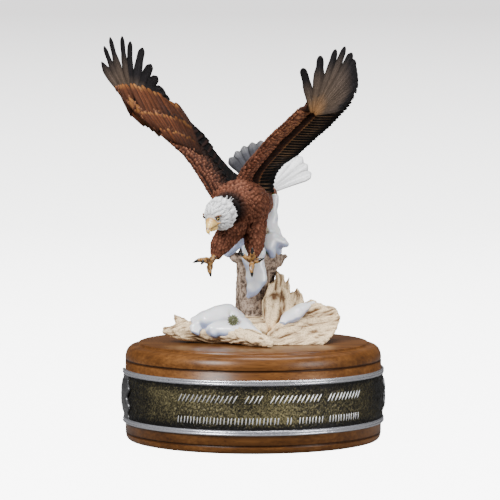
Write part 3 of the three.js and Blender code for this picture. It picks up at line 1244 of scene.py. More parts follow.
@dataclass
class NameBand:
    """The cast band: a stippled ground, reeded rims, two rows of strokes and end bosses."""

    low: float = 17.8
    high: float = 70.1
    inner: float = 126.1
    ground: float = 127.0
    rim: float = 128.2
    rim_height: float = 5
    faces: float = 9.5
    half_span: float = 95.4
    boss_half: float = 7.5
    row_half: float = 43.6
    seed: int = 41

    def bend(self, points: Array) -> Array:
        """Points given as azimuth in degrees, radius and height, both in millimetres."""
        turn = np.radians(points[:, 0])
        radius = points[:, 1] * MM
        return np.stack([np.sin(turn) * radius, -np.cos(turn) * radius, points[:, 2] * MM], -1)

    def swept(self, section: Sequence[tuple[float, float]], start: float, end: float,
              steps: int) -> Form:
        """A closed section carried round the base.

        Args:
            section: radius and height pairs, in millimetres.
            start: the first azimuth, in degrees.
            end: the last azimuth.
            steps: faces along the way.

        Returns:
            The closed solid.
        """
        bm = bmesh.new()
        turn = math.radians(start)
        verts = [bm.verts.new((math.sin(turn) * r * MM, -math.cos(turn) * r * MM, z * MM))
                 for r, z in section]
        face = bm.faces.new(verts)
        ops.spin(bm, geom=[face, *face.edges, *verts], cent=(0, 0, 0), axis=(0, 0, 1),
                       angle=math.radians(end - start), steps=steps, use_duplicate=False)
        keep = {v for f in bm.faces for v in f.verts}
        ops.delete(bm, geom=[v for v in bm.verts if v not in keep], context="VERTS")
        ops.recalc_face_normals(bm, faces=bm.faces)
        return bm

    def panel(self) -> None:
        """The ground, raised in a fine random stipple."""
        long_steps, tall_steps = 620, 56
        mesh = as_mesh(walled_grid(long_steps, tall_steps), "band_ground")
        flat = read_points(mesh)
        azimuth = self.faces + flat[:, 0] * self.half_span
        height = (self.low + self.high) / 2 + flat[:, 1] * (self.high - self.low - 6) / 2
        spots = self.bend(np.stack([azimuth, np.full_like(azimuth, self.ground), height], -1))
        stipple = Noise(self.seed)(spots, 0.0009, 1)
        raised = smooth(-0.4, 0.6, stipple)
        radius = np.where(flat[:, 2] > -0.5, self.ground - 0.25 + 0.55 * raised, self.inner)
        write_points(mesh, self.bend(np.stack([azimuth, radius, height], -1)))
        layer = mesh.attributes.new("height", "FLOAT", "POINT")
        layer.data.foreach_set("value", raised.astype(np.float32))
        bm = faced_out(mesh)
        bm.to_mesh(mesh)
        bm.free()
        show(mesh, StippleFinish().build(), "aged_pewter", "name_band")

    def rims(self) -> None:
        """Two reeded rims: a flat and two beads each."""
        parts = []
        start, end, steps = self.faces - self.half_span, self.faces + self.half_span, 200
        flat = self.rim - 0.5
        for edge, inward in ((self.low, 1), (self.high, -1)):
            far = edge + inward * self.rim_height
            section = [(self.inner, edge), (flat, edge), (flat, far), (self.inner, far)]
            parts.append(self.swept(section, start, end, steps))
            for offset, bead in ((1.2, 1.05), (3.5, 0.95)):
                middle = edge + inward * offset
                circle = [(self.rim - 0.75 + bead * 0.9 * math.cos(a), middle + bead * math.sin(a))
                          for a in np.linspace(0, 2 * math.pi, 10, endpoint=False)]
                parts.append(self.swept(circle, start, end, steps))
        show(merged(parts, "band_rims"), PewterFinish(roughness=0.26).build(), "aged_pewter", "name_band")

    def mark(self, start: float, slant: float, tall: float, bow: float) -> list[tuple[float, float, float]]:
        """One plain leaning stroke that is no letter.

        Args:
            start: where its foot is along the band, in millimetres.
            slant: how far it leans for each millimetre of height.
            tall: its height.
            bow: how far its middle swings out.

        Returns:
            Points of place, height and weight, thin at both ends.
        """
        return [(start + slant * tall * t + bow * math.sin(t * math.pi), tall * t,
                 0.35 + 0.85 * math.sin(math.pi * t) ** 0.7) for t in np.linspace(0, 1, 9)]

    def strokes(self) -> None:
        """Two rows of evenly tall shallow strokes in groups, a leaning row over an upright one."""
        rng = np.random.default_rng(self.seed)
        curve = bpy.data.curves.new("band_strokes_line", "CURVE")
        curve.dimensions = "3D"
        curve.bevel_depth = 0.5 * MM
        curve.bevel_resolution = 2
        arc = math.radians(self.row_half) * self.rim
        for middle, groups, slant, small in (
            (52.3, (7, 2, 6, 5), 0.6, 7.4), (31.6, (15, 1, 4, 6), 0.12, 6.6),
        ):
            slots = sum(groups) + 0.8 * (len(groups) - 1)
            pitch = 2 * arc / slots
            place = -arc
            for group in groups:
                for _ in range(group):
                    lines = [
                        self.mark(place + half * pitch * 0.5, slant, small, rng.uniform(-0.4, 0.4))
                        for half in (0, 1)
                    ]
                    for line in lines:
                        spline = curve.splines.new("POLY")
                        spline.points.add(len(line) - 1)
                        flat = np.array([[self.faces + math.degrees(x / self.rim), self.ground + 0.4,
                                          middle - small / 2 + y] for x, y, _ in line])
                        for point, spot, (_, _, weight) in zip(spline.points, self.bend(flat), line):
                            point.co = (*spot, 1)
                            point.radius = weight
                    place += pitch
                place += pitch * 0.8
        curve.use_fill_caps = True
        mesh = as_shown(linked("band_strokes_line", curve))
        mesh.name = "band_strokes"
        mesh.polygons.foreach_set("use_smooth", [True] * len(mesh.polygons))
        finish = PewterFinish("stroke_pewter", paint(236, 236, 238), paint(206, 206, 208), 0.42)
        show(mesh, finish.build(), "aged_pewter", "name_band")

    def bosses(self) -> None:
        """A cast end plate at each end, with a bracket edge, a round boss and a pin."""
        parts = []
        for side in (-1, 1):
            centre = self.faces + side * (self.half_span - self.boss_half)
            mesh = as_mesh(walled_grid(44, 96), "boss")
            flat = read_points(mesh)
            w, h = flat[:, 0], flat[:, 1]
            bracket = 1 - 0.22 * np.cos(h * math.pi * 3) * (w * side < 0)
            azimuth = centre + w * self.boss_half * bracket
            height = (self.low + self.high) / 2 + h * ((self.high - self.low) / 2 - 0.5)
            dome = np.clip(1 - (w / 0.75) ** 2 - (h / 0.5) ** 2, 0, 1) ** 0.6
            border = smooth(0.8, 0.9, np.maximum(np.abs(w), np.abs(h)))
            pin = np.clip(1 - ((w / 0.16) ** 2 + (h / 0.055) ** 2), 0, 1) ** 0.5
            beads = Noise(self.seed + side)(np.stack([w * 0.02, h * 0.026, 0 * w], -1), 0.0014)
            bulge = np.clip(1 - (h / 0.66) ** 2, 0, 1) ** 0.6
            rise = 0.4 + 2.2 * bulge + 0.7 * dome + 0.3 * border * bulge
            rise = rise + 0.5 * pin + 0.25 * beads * (pin < 0.01)
            radius = np.where(flat[:, 2] > -0.5, self.ground + rise, self.inner)
            write_points(mesh, self.bend(np.stack([azimuth, radius, height], -1)))
            parts.append(faced_out(mesh))
            bpy.data.meshes.remove(mesh)
        finish = PewterFinish("boss_pewter", paint(132, 132, 134), paint(58, 58, 60), 0.38)
        show(merged(parts, "band_bosses"), finish.build(), "aged_pewter", "name_band")

    def build(self) -> None:
        """Makes and dresses every piece of the band."""
        self.panel()
        self.rims()
        self.strokes()
        self.bosses()


# ---- the scenic mount


@dataclass
class ScenicMount:
    """The cast mount: the barked stump, split driftwood, snow and a pine cone."""

    seed: int = 7

    def __post_init__(self) -> None:
        """Reads where the mount stands."""
        self.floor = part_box("driftwood_mount")[0].z
        self.noise = Noise(self.seed)

    def cut_flat(self, mesh: Mesh) -> Mesh:
        """Cuts a mesh off flat where it stands on the plateau, and closes the cut.

        Args:
            mesh: the mesh.

        Returns:
            The same mesh.
        """
        bm = bmesh.new()
        bm.from_mesh(mesh)
        found = ops.bisect_plane(bm, geom=[*bm.verts, *bm.edges, *bm.faces], dist=1e-7,
                                       plane_co=(0, 0, self.floor), plane_no=(0, 0, -1),
                                       clear_outer=True)
        rim = [item for item in found["geom_cut"] if isinstance(item, bmesh.types.BMEdge)]
        ops.holes_fill(bm, edges=rim, sides=0)
        ops.recalc_face_normals(bm, faces=bm.faces)
        bm.to_mesh(mesh)
        bm.free()
        return mesh

    def carve(self, mesh: Mesh, relief: Array, depth: float) -> None:
        """Moves each point along its normal by its relief, from -1 to 1, times depth."""
        write_points(mesh, read_points(mesh) + point_normals(mesh) * (relief * depth * MM)[:, None])

    def bark(self) -> None:
        """The stump, rough with ridges and worm tracks."""
        trunk = Limb(
            [(4, 8, 88), (2, 9, 112), (1, 10, 140), (3, 11, 165), (7, 14, 190), (11, 19, 212),
             (18, 25, 228), (21, 26, 236)],
            (28, 24, 18.5, 18.5, 21, 13.5, 6.5, 3), (24, 21, 17.5, 17.5, 18, 14.5, 7.5, 3.5), (0, 1, 0))
        knob = Limb([(12, 12, 168), (24, 13, 174), (33.5, 14, 178.5)], (9, 7, 2.2))
        snag = Limb([(-6, 8, 172), (-20, 5, 178), (-27.5, 4, 181)], (8, 5, 1.5))
        mesh = fused(merged([wrapped(trunk, 48, 60), wrapped(knob, 24, 16), wrapped(snag, 24, 16)],
                            "stump_bark"), 0.0011, 3)
        spots = read_points(mesh)
        ridges = self.noise(spots, (0.006, 0.006, 0.022), 2)
        worm = 1 - 3 * np.abs(self.noise(spots + 0.3, (0.0032, 0.0032, 0.0042), 1))
        grain = self.noise(spots + 0.7, 0.0014, 1)
        relief = np.clip(0.4 * ridges + 0.45 * worm + 0.4 * grain - 0.1, -1, 0.9)
        self.carve(mesh, relief, 0.95)
        tone = blend(paint(104, 88, 76), paint(202, 180, 162), smooth(-0.9, 0.5, relief))
        put_colors(mesh, tone * (1 + 0.12 * grain)[:, None])
        finish = WashedFinish("barked_paint", 620, 0.0006, 0.8, (0.2, 0.16, 0.13)).build()
        show(self.cut_flat(mesh), finish, "painted_driftwood", "driftwood_mount")

    def slab(self, corners: Sequence[Point], front: float, back: float) -> Form:
        """A flat split piece of wood.

        Args:
            corners: its outline, in millimetres.
            front: how far its front face stands before the outline, in millimetres.
            back: how far its back face stands behind it.

        Returns:
            The closed solid.
        """
        bm = bmesh.new()
        verts = [bm.verts.new((x * MM, (y - front) * MM, z * MM)) for x, y, z in corners]
        face = bm.faces.new(verts)
        made = ops.extrude_face_region(bm, geom=[face], use_keep_orig=True)["geom"]
        moved = [item for item in made if isinstance(item, bmesh.types.BMVert)]
        ops.translate(bm, verts=moved, vec=(0, (front + back) * MM, 0))
        ops.triangulate(bm, faces=bm.faces)
        ops.recalc_face_normals(bm, faces=bm.faces)
        return bm

    def timber(self, name: str, parts: Sequence[Form], fibre: Point,
               tan: float = 0.0, depth: float = 1.25) -> None:
        """A piece of split driftwood with fibres along it.

        Args:
            name: the piece's name.
            parts: its closed forms.
            fibre: the direction its fibres run.
            tan: how much more brown wash it has, 0 to 1.
            depth: the depth of its fibres, in millimetres.
        """
        mesh = fused(merged(parts, name), 0.0010, 3)
        spots = read_points(mesh)
        ahead = np.array(Vector(fibre).normalized())
        side = unit(np.cross(ahead, (0.1, 1, 0.2)))
        through = np.cross(ahead, side)
        local = np.stack([spots @ ahead, spots @ side, spots @ through], -1)
        warp = self.noise(spots, 0.014)
        local[:, 1] += warp * 0.0030
        local[:, 2] += warp * 0.0022
        coarse = self.noise(local, (0.024, 0.0031, 0.0031), 1)
        fine = self.noise(local + 0.4, (0.008, 0.0014, 0.0014), 1)
        splits = np.clip(1 - np.abs(self.noise(local + 0.9, (0.03, 0.0075, 0.0075))) * 12, 0, 1)
        relief = np.clip(0.9 * coarse + 0.7 * fine - 0.5 * splits, -1.3, 1)
        self.carve(mesh, relief, depth)
        cream = blend(paint(250, 226, 188), paint(220, 192, 154), np.full(len(spots), tan))
        tone = blend(paint(140, 104, 74), cream, smooth(-1.0, 0.3 + 0.3 * tan, relief))
        put_colors(mesh, tone * (1 + 0.08 * self.noise(spots + 0.2, 0.012))[:, None])
        finish = WashedFinish(name + "_paint", 800, 0.0003, 0.7).build()
        show(self.cut_flat(mesh), finish, "painted_driftwood", "driftwood_mount")

    def driftwood(self) -> None:
        """The logs, the tongue, the two splinters and the long slab."""
        self.timber("left_log", [
            wrapped(Limb([(12, -8, 108), (-20, -10, 107), (-52, -12, 106), (-76, -11, 106), (-88, -10, 107)],
                         (20, 21, 19, 15, 4.5), (13, 13.5, 13, 10, 4)), 48, 90),
            wrapped(Limb([(-66, -8, 108), (-72, -5, 115), (-78, -3, 121.5)], (8, 6, 1.5)), 20, 20),
        ], (1, 0.05, 0), 0.1)
        self.timber("forward_log", [
            wrapped(Limb([(-26, -22, 104.5), (-8, -40, 104), (8, -55.5, 101), (18.5, -66.5, 98.5)],
                         (13, 11, 9, 3.3), (8, 8, 7, 2.8)), 40, 60),
        ], (0.62, -0.7, -0.12))
        self.timber("tall_splinter", [
            self.slab([(9, -16, 92), (34, -12, 92), (37, -6, 118), (36, 0, 140), (35, 3, 157), (31.5, 3, 150),
                       (29, 3, 160), (23.8, 2, 164), (20, -1, 152), (15, -4, 152), (9.5, -12, 136),
                       (9, -16, 116)], 5, 6.5),
        ], (0.12, 0.15, 1), 0.08)
        self.timber("short_splinter", [
            self.slab([(28, -12, 92), (56, -2, 92), (52, 2, 118), (50, 6, 131), (48, 8, 139),
                       (43, 7, 146), (38, 5, 143), (34, 2, 137), (28, -6, 120)], 5, 6.5),
        ], (0.1, 0.2, 1), 0.12)
        self.timber("long_slab", [
            self.slab([(12, -33, 91), (22, -37.5, 91), (40, -37.5, 91), (61, -37.5, 91), (70, -28, 96),
                       (79, -12, 105), (85.4, 2, 117), (83.5, 5, 122.5), (79.5, 8, 126.5), (66, 10, 129.5),
                       (57, 12, 133), (40, 0, 124), (24, -18, 114), (14, -30, 104)], 6.5, 20),
        ], (0.9, 0.3, 0.24), 0.3, 1.3)

    def snow(self) -> None:
        """The drifts on the ground and the sheets that cling to the stump."""
        drift = [
            (Limb([(-60, -17, 114), (-47, -17, 117), (-33, -14, 120.5), (-23, -12, 121), (-9, -18, 111),
                   (3, -27, 105.5)], (6, 15, 17, 13.5, 9, 4), (5, 9.5, 11, 10, 6, 3.5)), 40, 70),
            (Limb([(-14, -22, 116), (-4, -32, 110), (7, -41, 105.5)], (10, 9, 3.5), (7, 6, 3)), 28, 32),
            (Limb([(-56, -24, 113), (-55, -29, 107), (-53, -30, 103)], (7, 6, 2), (5, 4, 2)), 20, 20),
            (Limb([(-48, -23, 108), (-36, -27, 108), (-23, -31, 108), (-10, -35, 107), (1, -38, 103)],
                  (4, 9, 9, 9, 4), (4, 8, 8, 7, 4)), 32, 50),
            (Limb([(-38, -30, 112), (-37, -33, 105), (-36, -33, 101)], (6, 5, 2), (5, 4, 2)), 20, 20),
            (Limb([(-8, -38, 108), (-7, -42, 104), (-6, -43, 100)], (7, 5, 2), (5, 4, 2)), 20, 20),
        ]
        front = [
            (Limb([(0, 0, 192), (1, -7, 176), (3, -10, 163), (2, -12, 153), (-1, -13, 145), (-6, -12, 138.5)],
                  (13, 12, 10.5, 11, 7, 2), (4, 5.5, 5.5, 5, 4.5, 1.5), (0, -1, 0)), 32, 60),
            (Limb([(-27, 3, 178), (-19, 1, 188), (-10, -1, 200), (0, 2, 212)], (3, 7, 9, 5), (3, 6, 7, 5)),
             28, 40),
        ]
        shoulder = [
            (Limb([(21, 25, 238), (20, 23, 226), (17, 17, 212), (17, 12, 198), (22, 11, 186), (26, 11, 179)],
                  (4, 4, 8, 10.5, 11, 4), (4.5, 5, 7, 8, 8.5, 4), (0, -1, 0)), 32, 60),
            (Limb([(13, 4, 200), (21, 6, 194), (29, 8, 191), (35, 10, 188.5)], (6, 9, 8, 3.5), (5, 7, 6, 3)),
             28, 36),
            (Limb([(16, 4, 200), (17, 0, 188), (18.5, -1, 177)], (9, 8, 4), (7, 6, 3)), 28, 36),
        ]
        caught = [
            (Limb([(60, 10, 132), (46, -2, 126), (34, -16, 119), (28, -24, 114)],
                  (3, 8, 10, 4), (3, 5, 6, 3.5)), 32, 40),
        ]
        finish = SnowFinish().build()
        for name, parts in (("ground_snow", drift), ("front_snow", front), ("shoulder_snow", shoulder),
                            ("caught_snow", caught)):
            mesh = fused(merged([wrapped(*part) for part in parts], name), 0.0011, 8)
            spots = read_points(mesh)
            self.carve(mesh, self.noise(spots, 0.011) * 1.3 + self.noise(spots, 0.0055) * 0.4, 1.0)
            show(self.cut_flat(mesh), finish, "painted_snow", "driftwood_mount")

    def pine_cone(self) -> None:
        """A small open cone seen end on: rings of scales round a bud."""
        centre = np.array((-19.7, -37.5, 119.5))
        out = unit(np.array((0.0, -1.0, 0.35)))
        right = unit(np.cross(out, (0, 0, 1)))
        up = np.cross(right, out)
        parts = []
        rings = ((13, 5.0, 2.4), (11, 3.9, 2.1), (8, 2.6, 1.8), (5, 1.4, 1.5), (1, 0.0, 1.3))
        for ring, (count, radius, reach) in enumerate(rings):
            for index in range(count):
                turn = 2 * math.pi * (index + 0.5 * ring) / count
                spoke = right * math.cos(turn) + up * math.sin(turn)
                root = centre + spoke * radius * 0.5 + out * (ring * 0.7 - 2)
                tip = centre + spoke * radius * 1.12 + out * (ring * 1.0 - 0.4)
                scale = Limb([tuple(root), tuple((root + tip) / 2 + out * 0.4), tuple(tip)],
                             (0.6, reach * 0.5, 0.5), (0.4, 0.7, 0.35), tuple(out))
                parts.append(wrapped(scale, 10, 6))
        mesh = merged(parts, "pine_cone")
        away = np.linalg.norm(read_points(mesh) / MM - centre, axis=1)
        put_colors(mesh, blend(paint(92, 92, 66), paint(186, 192, 156), 0.5 + 0.5 * np.sin(away * 5.2)))
        show(mesh, WashedFinish("cone_paint", 900).build(), "painted_driftwood", "driftwood_mount")

    def build(self) -> None:
        """Makes and dresses the whole mount."""
        self.bark()
        self.driftwood()
        self.snow()
        self.pine_cone()


# ---- the eagle


@dataclass(frozen=True)
class Palette:
    """The eagle's paints."""

    rust: Color = paint(136, 84, 66)
    rust_light: Color = paint(190, 134, 108)
    umber: Color = paint(90, 57, 45)
    umber_dark: Color = paint(34, 20, 14)
    gold: Color = paint(192, 142, 92)
    amber: Color = paint(150, 90, 58)
    black: Color = paint(6, 4, 4)
    charcoal: Color = paint(44, 41, 43)
    collar: Color = paint(40, 30, 30)
    slate: Color = paint(88, 79, 76)
    tan_gray: Color = paint(122, 104, 88)
    white: Color = paint(246, 246, 247)
    shade: Color = paint(92, 92, 98)
    ochre: Color = paint(196, 150, 92)
    cere: Color = paint(212, 164, 100)
    horn: Color = paint(238, 204, 136)


PAINT = Palette()


class Side(IntEnum):
    """The two faces of a wing."""

    BACK = 1
    BELLY = -1


@dataclass
class Wing:
    """One wing: its arm, the fan of its hand and how it is coloured on each face."""

    name: str
    arm: WingArm
    wrist: Point
    slope: tuple[float, float]
    fan: Sequence[tuple[float, float, float, float]]
    curl: float
    shown: Side
    seed: int
    blunt: float
    cover_end: tuple[float, float]
    rows: Sequence[Sequence[tuple[float, float]]]

    def lie(self, spot: Sequence[float], view: int, skin: BVHTree, lift: float) -> Array:
        """A point on the wing seen at x, z from the front, view 1, or from the back, view -1.

        Args:
            spot: x and z in millimetres.
            view: which way it is seen.
            skin: the surface of the arm.
            lift: how far it stands off towards the viewer, in millimetres.

        Returns:
            The point in metres.
        """
        x, z = spot
        wrist = np.array(self.wrist)
        y = wrist[1] + self.slope[0] * (x - wrist[0]) + self.slope[1] * (z - wrist[2]) - view * 1.2
        hit, _, _, _ = skin.ray_cast(Vector((x * MM, -view * 0.5, z * MM)), Vector((0, view, 0)))
        if hit is None:
            hit = skin.find_nearest(Vector((x * MM, y * MM, z * MM)))[0]
        y = min(hit.y / MM * view, max(y * view, hit.y / MM * view - 5)) * view
        return np.array((x, y - view * lift, z)) * MM

    def face(self) -> Array:
        """The hand's normal on the side of the wing's back."""
        normal = unit(np.array((self.slope[0], -1.0, self.slope[1])))
        return normal * np.sign(normal @ np.array(self.arm.outside))

    def out(self, reach: float, degrees: float, lift: float = 0.0) -> Array:
        """A point of the hand at a reach and direction from the wrist, in metres.

        Args:
            reach: the distance from the wrist in millimetres.
            degrees: the direction seen from the front.
            lift: how far it lies towards the wing's back.

        Returns:
            The point.
        """
        x = math.cos(math.radians(degrees)) * reach
        z = math.sin(math.radians(degrees)) * reach
        y = self.slope[0] * x + self.slope[1] * z
        spot = np.array(self.wrist) + (x, y, z)
        return (spot + self.face() * lift) * MM

    def draped(self, root: Array, tip: Array, view: int, skin: BVHTree,
               lift: float) -> tuple[Array, Array, Array]:
        """The root, tip and bow of a long covert that follows the wing's round.

        Args:
            root: x and z of its root in millimetres.
            tip: x and z of its tip.
            view: 1 for the front, -1 for the back.
            skin: the surface of the arm.
            lift: how far its tip stands off, in millimetres.

        Returns:
            Root and tip in metres, and the bow that bends the line between them.
        """
        first = self.lie(root, view, skin, 0.9)
        last = self.lie(tip, view, skin, lift)
        reach = float(np.linalg.norm(tip - root)) * MM
        last[1] = first[1] + np.clip(last[1] - first[1], -0.5 * reach, 0.5 * reach)
        middle = self.lie((root + tip) / 2, view, skin, 0.7 + 0.5 * lift)
        bow = 2 * middle - (first + last) / 2 - knee(first, last)
        return first, last, bow * min(1.0, 0.2 * reach / max(float(np.linalg.norm(bow)), 1e-9))

    def blade(self, reach: float, degrees: float, stations: Sequence[tuple[float, float]],
              colors: Sequence[tuple[float, Color]], lift: float, root: float = 2.0,
              thick: float = 1.6) -> Blade:
        """A blade of the hand's fan.

        Args:
            reach: the tip's distance from the wrist, in millimetres.
            degrees: its direction.
            stations: places along it with half widths in millimetres.
            colors: places along it with colours.
            lift: how far it lies towards the wing's back, in millimetres.
            root: the root's distance from the wrist.
            thick: its thickness, in millimetres.

        Returns:
            The blade.
        """
        side = np.array((math.sin(math.radians(degrees)), 0, -math.cos(math.radians(degrees))))
        return Blade(self.out(root, degrees, lift), self.out(reach, degrees, lift),
                     side * (-self.curl * reach * MM), self.face(), stations, colors, thick)

    def hand(self) -> BladeFan:
        """The primaries of the hand, webbed near the wrist and free beyond.

        Returns:
            The fan.
        """
        fan = BladeFan(self.name + "_primaries")
        for index, (reach, degrees, webbed, half) in enumerate(self.fan):
            after = min(index + 1, len(self.fan) - 1)
            before = max(index - 1, 0)
            spacing = math.radians(abs(self.fan[after][1] - self.fan[before][1]) / (after - before))
            web = max(spacing * webbed * 0.6, half)
            joint = min(webbed / reach, 0.86)
            free = min(joint + 0.12, 0.92)
            stations = [(0, web * 0.35), (joint * 0.8, web * 0.95), (joint, web * 0.92), (free, half),
                        ((free + 0.94) / 2, half * 1.02), (0.94, half * 0.92), (1, half * self.blunt)]
            base = PAINT.tan_gray if self.shown == Side.BACK else blend(PAINT.gold, PAINT.slate, 0.3)
            soon = 1.0 if index < 4 else (0.62 if self.shown == Side.BACK else 0.9)
            colors = [(0, blend(base, PAINT.umber, 0.3)), (0.15 * soon, blend(base, PAINT.tan_gray, 0.6)),
                      (0.3 * soon, blend(PAINT.tan_gray, PAINT.slate, 0.3)),
                      (joint * 0.8 * soon, blend(PAINT.tan_gray, PAINT.slate, 0.6)),
                      (min(joint + 0.12, 0.97) * soon, PAINT.charcoal),
                      (1, blend(PAINT.charcoal, PAINT.black, 0.45))]
            if self.shown == Side.BELLY and index > 4:
                stations[-3:] = [(w[0], w[1] * 1.4) for w in stations[-3:]]
            fan.blades.append(self.blade(reach, degrees, stations, [(a, tuple(b)) for a, b in colors],
                                         lift=0.12 * index * self.shown - 0.5, thick=2.2))
        return fan


@dataclass
class Eagle:
    """The whole bird: a fused skin, its coats of feathers, head, legs and tail."""

    seed: int = 11
    buried: float = 0.0022
    hug: float = 10.5

    def __post_init__(self) -> None:
        """Sets out the forms of the bird."""
        self.rng = np.random.default_rng(self.seed)
        self.torso = Limb(
            [(-26, -62, 228), (-22, -50, 229), (-14, -30, 231), (-6, -14, 230), (-1, 0, 229),
             (4, 14, 229), (8, 26, 231), (13, 44, 237)],
            (13.4, 17.4, 25.2, 24.2, 18.4, 14.4, 12, 8.5),
            (12.5, 16.2, 23.4, 22.5, 17.1, 13.4, 11.1, 8))
        self.rump = Limb([(9, 30, 232), (12, 42, 238), (13, 52, 246)], (16, 11.5, 6.5), (14, 7.5, 3.6))
        thick = (16, 11.5, 8.6, 7, 4.2)
        self.wings = (
            Wing("right_wing", WingArm(
                [(-16, -36, 222), (-38, -25, 235), (-50, -20, 253), (-66, -12, 276), (-89, -4, 296),
                 (-108, 4, 312), (-126, 12, 329), (-139, 19, 345)],
                [(4, 4, 232), (-18, 15, 256), (-28, 25, 266), (-40, 32, 280), (-51, 38, 296),
                 (-65, 42, 309), (-83, 44, 327), (-90, 43, 338)],
                (0.52, -0.47, 0.68), thick),
                (-116.6, 27, 323), (0.44, 0.11),
                ((56, 125, 46, 2.2), (68, 116, 44, 2.3), (74, 109, 47, 2.4), (72, 100, 45, 2.5),
                 (66, 94, 40, 2.8), (60, 83, 39, 3.8), (46, 70, 36, 4.2), (38, 55, 32, 4.4),
                 (33, 37, 28, 4.4), (33, 18, 28, 4.4)), 0.06, Side.BACK, 21, 0.6, (0.86, 0.62),
                (((-134, 346), (-122, 348), (-109, 345.5), (-94, 337), (-86, 331), (-77, 327)),
                 ((-125, 324), (-108, 320), (-95, 319), (-80, 316), (-70, 311), (-62, 306)),
                 ((-113, 311), (-97, 306), (-84, 303), (-71, 299), (-61, 294), (-55, 290)),
                 ((-104, 302), (-90, 296), (-77, 293), (-65, 288), (-56, 283), (-50, 280)))),
            Wing("left_wing", WingArm(
                [(-18, -34, 238), (-13, -24, 258), (-1, -28, 274), (12, -34, 292), (26, -40, 306),
                 (40, -46, 320), (49, -47, 327), (55, -46, 333), (61, -43, 338)],
                [(12, 14, 224), (18, 20, 237), (20, 22, 255), (28, 20, 267), (45, 12, 281),
                 (61, 2, 297), (76, -9, 311), (90, -17, 328), (97, -23, 342)],
                (-0.57, 0.58, 0.54), thick),
                (56.3, -44, 318), (0.52, 0.06),
                ((46, 102, 26, 4.2), (57.5, 82, 38, 4.0), (67, 70, 46, 3.3), (73, 64, 56, 3),
                 (71, 57, 60, 4), (67, 52, 58, 4), (63, 48, 56, 4), (60, 44, 54, 4), (57, 40, 52, 4),
                 (54, 36, 49, 4), (50, 32, 46, 4), (45, 28, 41, 4), (40, 24, 36, 4), (35, 20, 32, 4),
                 (31, 16, 28, 4)), -0.05, Side.BELLY, 22, 0.85, (0.8, 0.78),
                (((57, 335), (61, 338), (67, 336), (72, 331), (75, 325), (76, 318)),
                 ((49, 322), (52, 322), (56, 319), (58, 314), (59, 308), (58, 301)),
                 ((38, 309), (41, 308), (44, 304), (47, 299), (48, 294), (46, 288)),
                 ((25, 298), (30, 296), (34, 292), (37, 287), (39, 282), (37, 276)))),
        )
        self.thighs = (
            Limb([(-14, -28, 222), (-21, -42, 207), (-29, -53, 197), (-34, -59, 189), (-36, -62, 182)],
                 (17.2, 13.2, 10.8, 9.4, 4.4), None, (0, 1, 0)),
            Limb([(-2, -12, 222), (0, -27, 212), (1, -40, 200), (0.8, -48, 190), (0, -53, 182)],
                 (16.2, 13.2, 10.3, 8.9, 4.4), None, (0, 1, 0)),
        )
        self.gaze = unit(np.array((-0.45, -0.65, -0.6)))
        self.crown = unit(np.array((0, 0, 1)) - self.gaze * self.gaze[2])
        self.left = unit(np.cross(self.crown, self.gaze))
        self.skull: BVHTree | None = None
        self.eye_spots = ((-48, -75, 222), (-33.4, -94, 219.8))

    def draw(self, low: float, high: float) -> float:
        """The next random number from low to high."""
        return self.rng.uniform(low, high)

    def on_skull(self, spot: Sequence[float], lift: float = 0.0) -> Array:
        """The point of the skull nearest to a place in millimetres, raised by lift."""
        hit, normal, _, _ = self.skull.find_nearest(Vector(np.array(spot, float) * MM))
        return np.array(hit) / MM + np.array(normal) * lift

    # ---- the skin under the feathers

    def skin(self) -> BVHTree:
        """Fuses body, arms and thighs, paints them near black as painted shade and dark wash between the
        feathers, and gives their surface.

        Returns:
            The surface that the feathers follow.
        """
        parts = [wrapped(self.torso, 48, 60), wrapped(self.rump, 32, 20)]
        parts += [wrapped(wing.arm, 60, 100) for wing in self.wings]
        parts += [wrapped(thigh, 36, 40) for thigh in self.thighs]
        mesh = fused(merged(parts, "eagle_skin"), 0.0012, 5)
        tree = surface_tree(mesh)
        spots = read_points(mesh)
        # Painted shade with the dark wash: the skin shows only in the gaps between feathers, so it is laid
        # near black; the bare wrist keeps its brown.
        dark = blend(PAINT.umber_dark, PAINT.black, 0.5 + 0.5 * Noise(3)(spots, 0.004))
        wrist = smooth(16, 7, np.linalg.norm(spots / MM - np.array((55, -46, 328)), axis=1))
        bare = blend(PAINT.umber, PAINT.tan_gray, smooth(328, 334, spots[:, 2] / MM))
        put_colors(mesh, blend(dark, bare, wrist))
        show(mesh, WashedFinish("under_paint", 900, 0.0004, 0.7).build(), "painted_feathers", "eagle")
        return tree

    # ---- coats of small feathers

    def brown(self, share: float) -> tuple[Array, Array]:
        """A base and a tip colour for a brown feather: share 0 is umber and 1 is rust."""
        base = blend(PAINT.umber, PAINT.rust, share) * self.draw(0.8, 1.15)
        tip = blend(PAINT.rust, PAINT.rust_light, share) * self.draw(0.85, 1.1)
        return base, tip

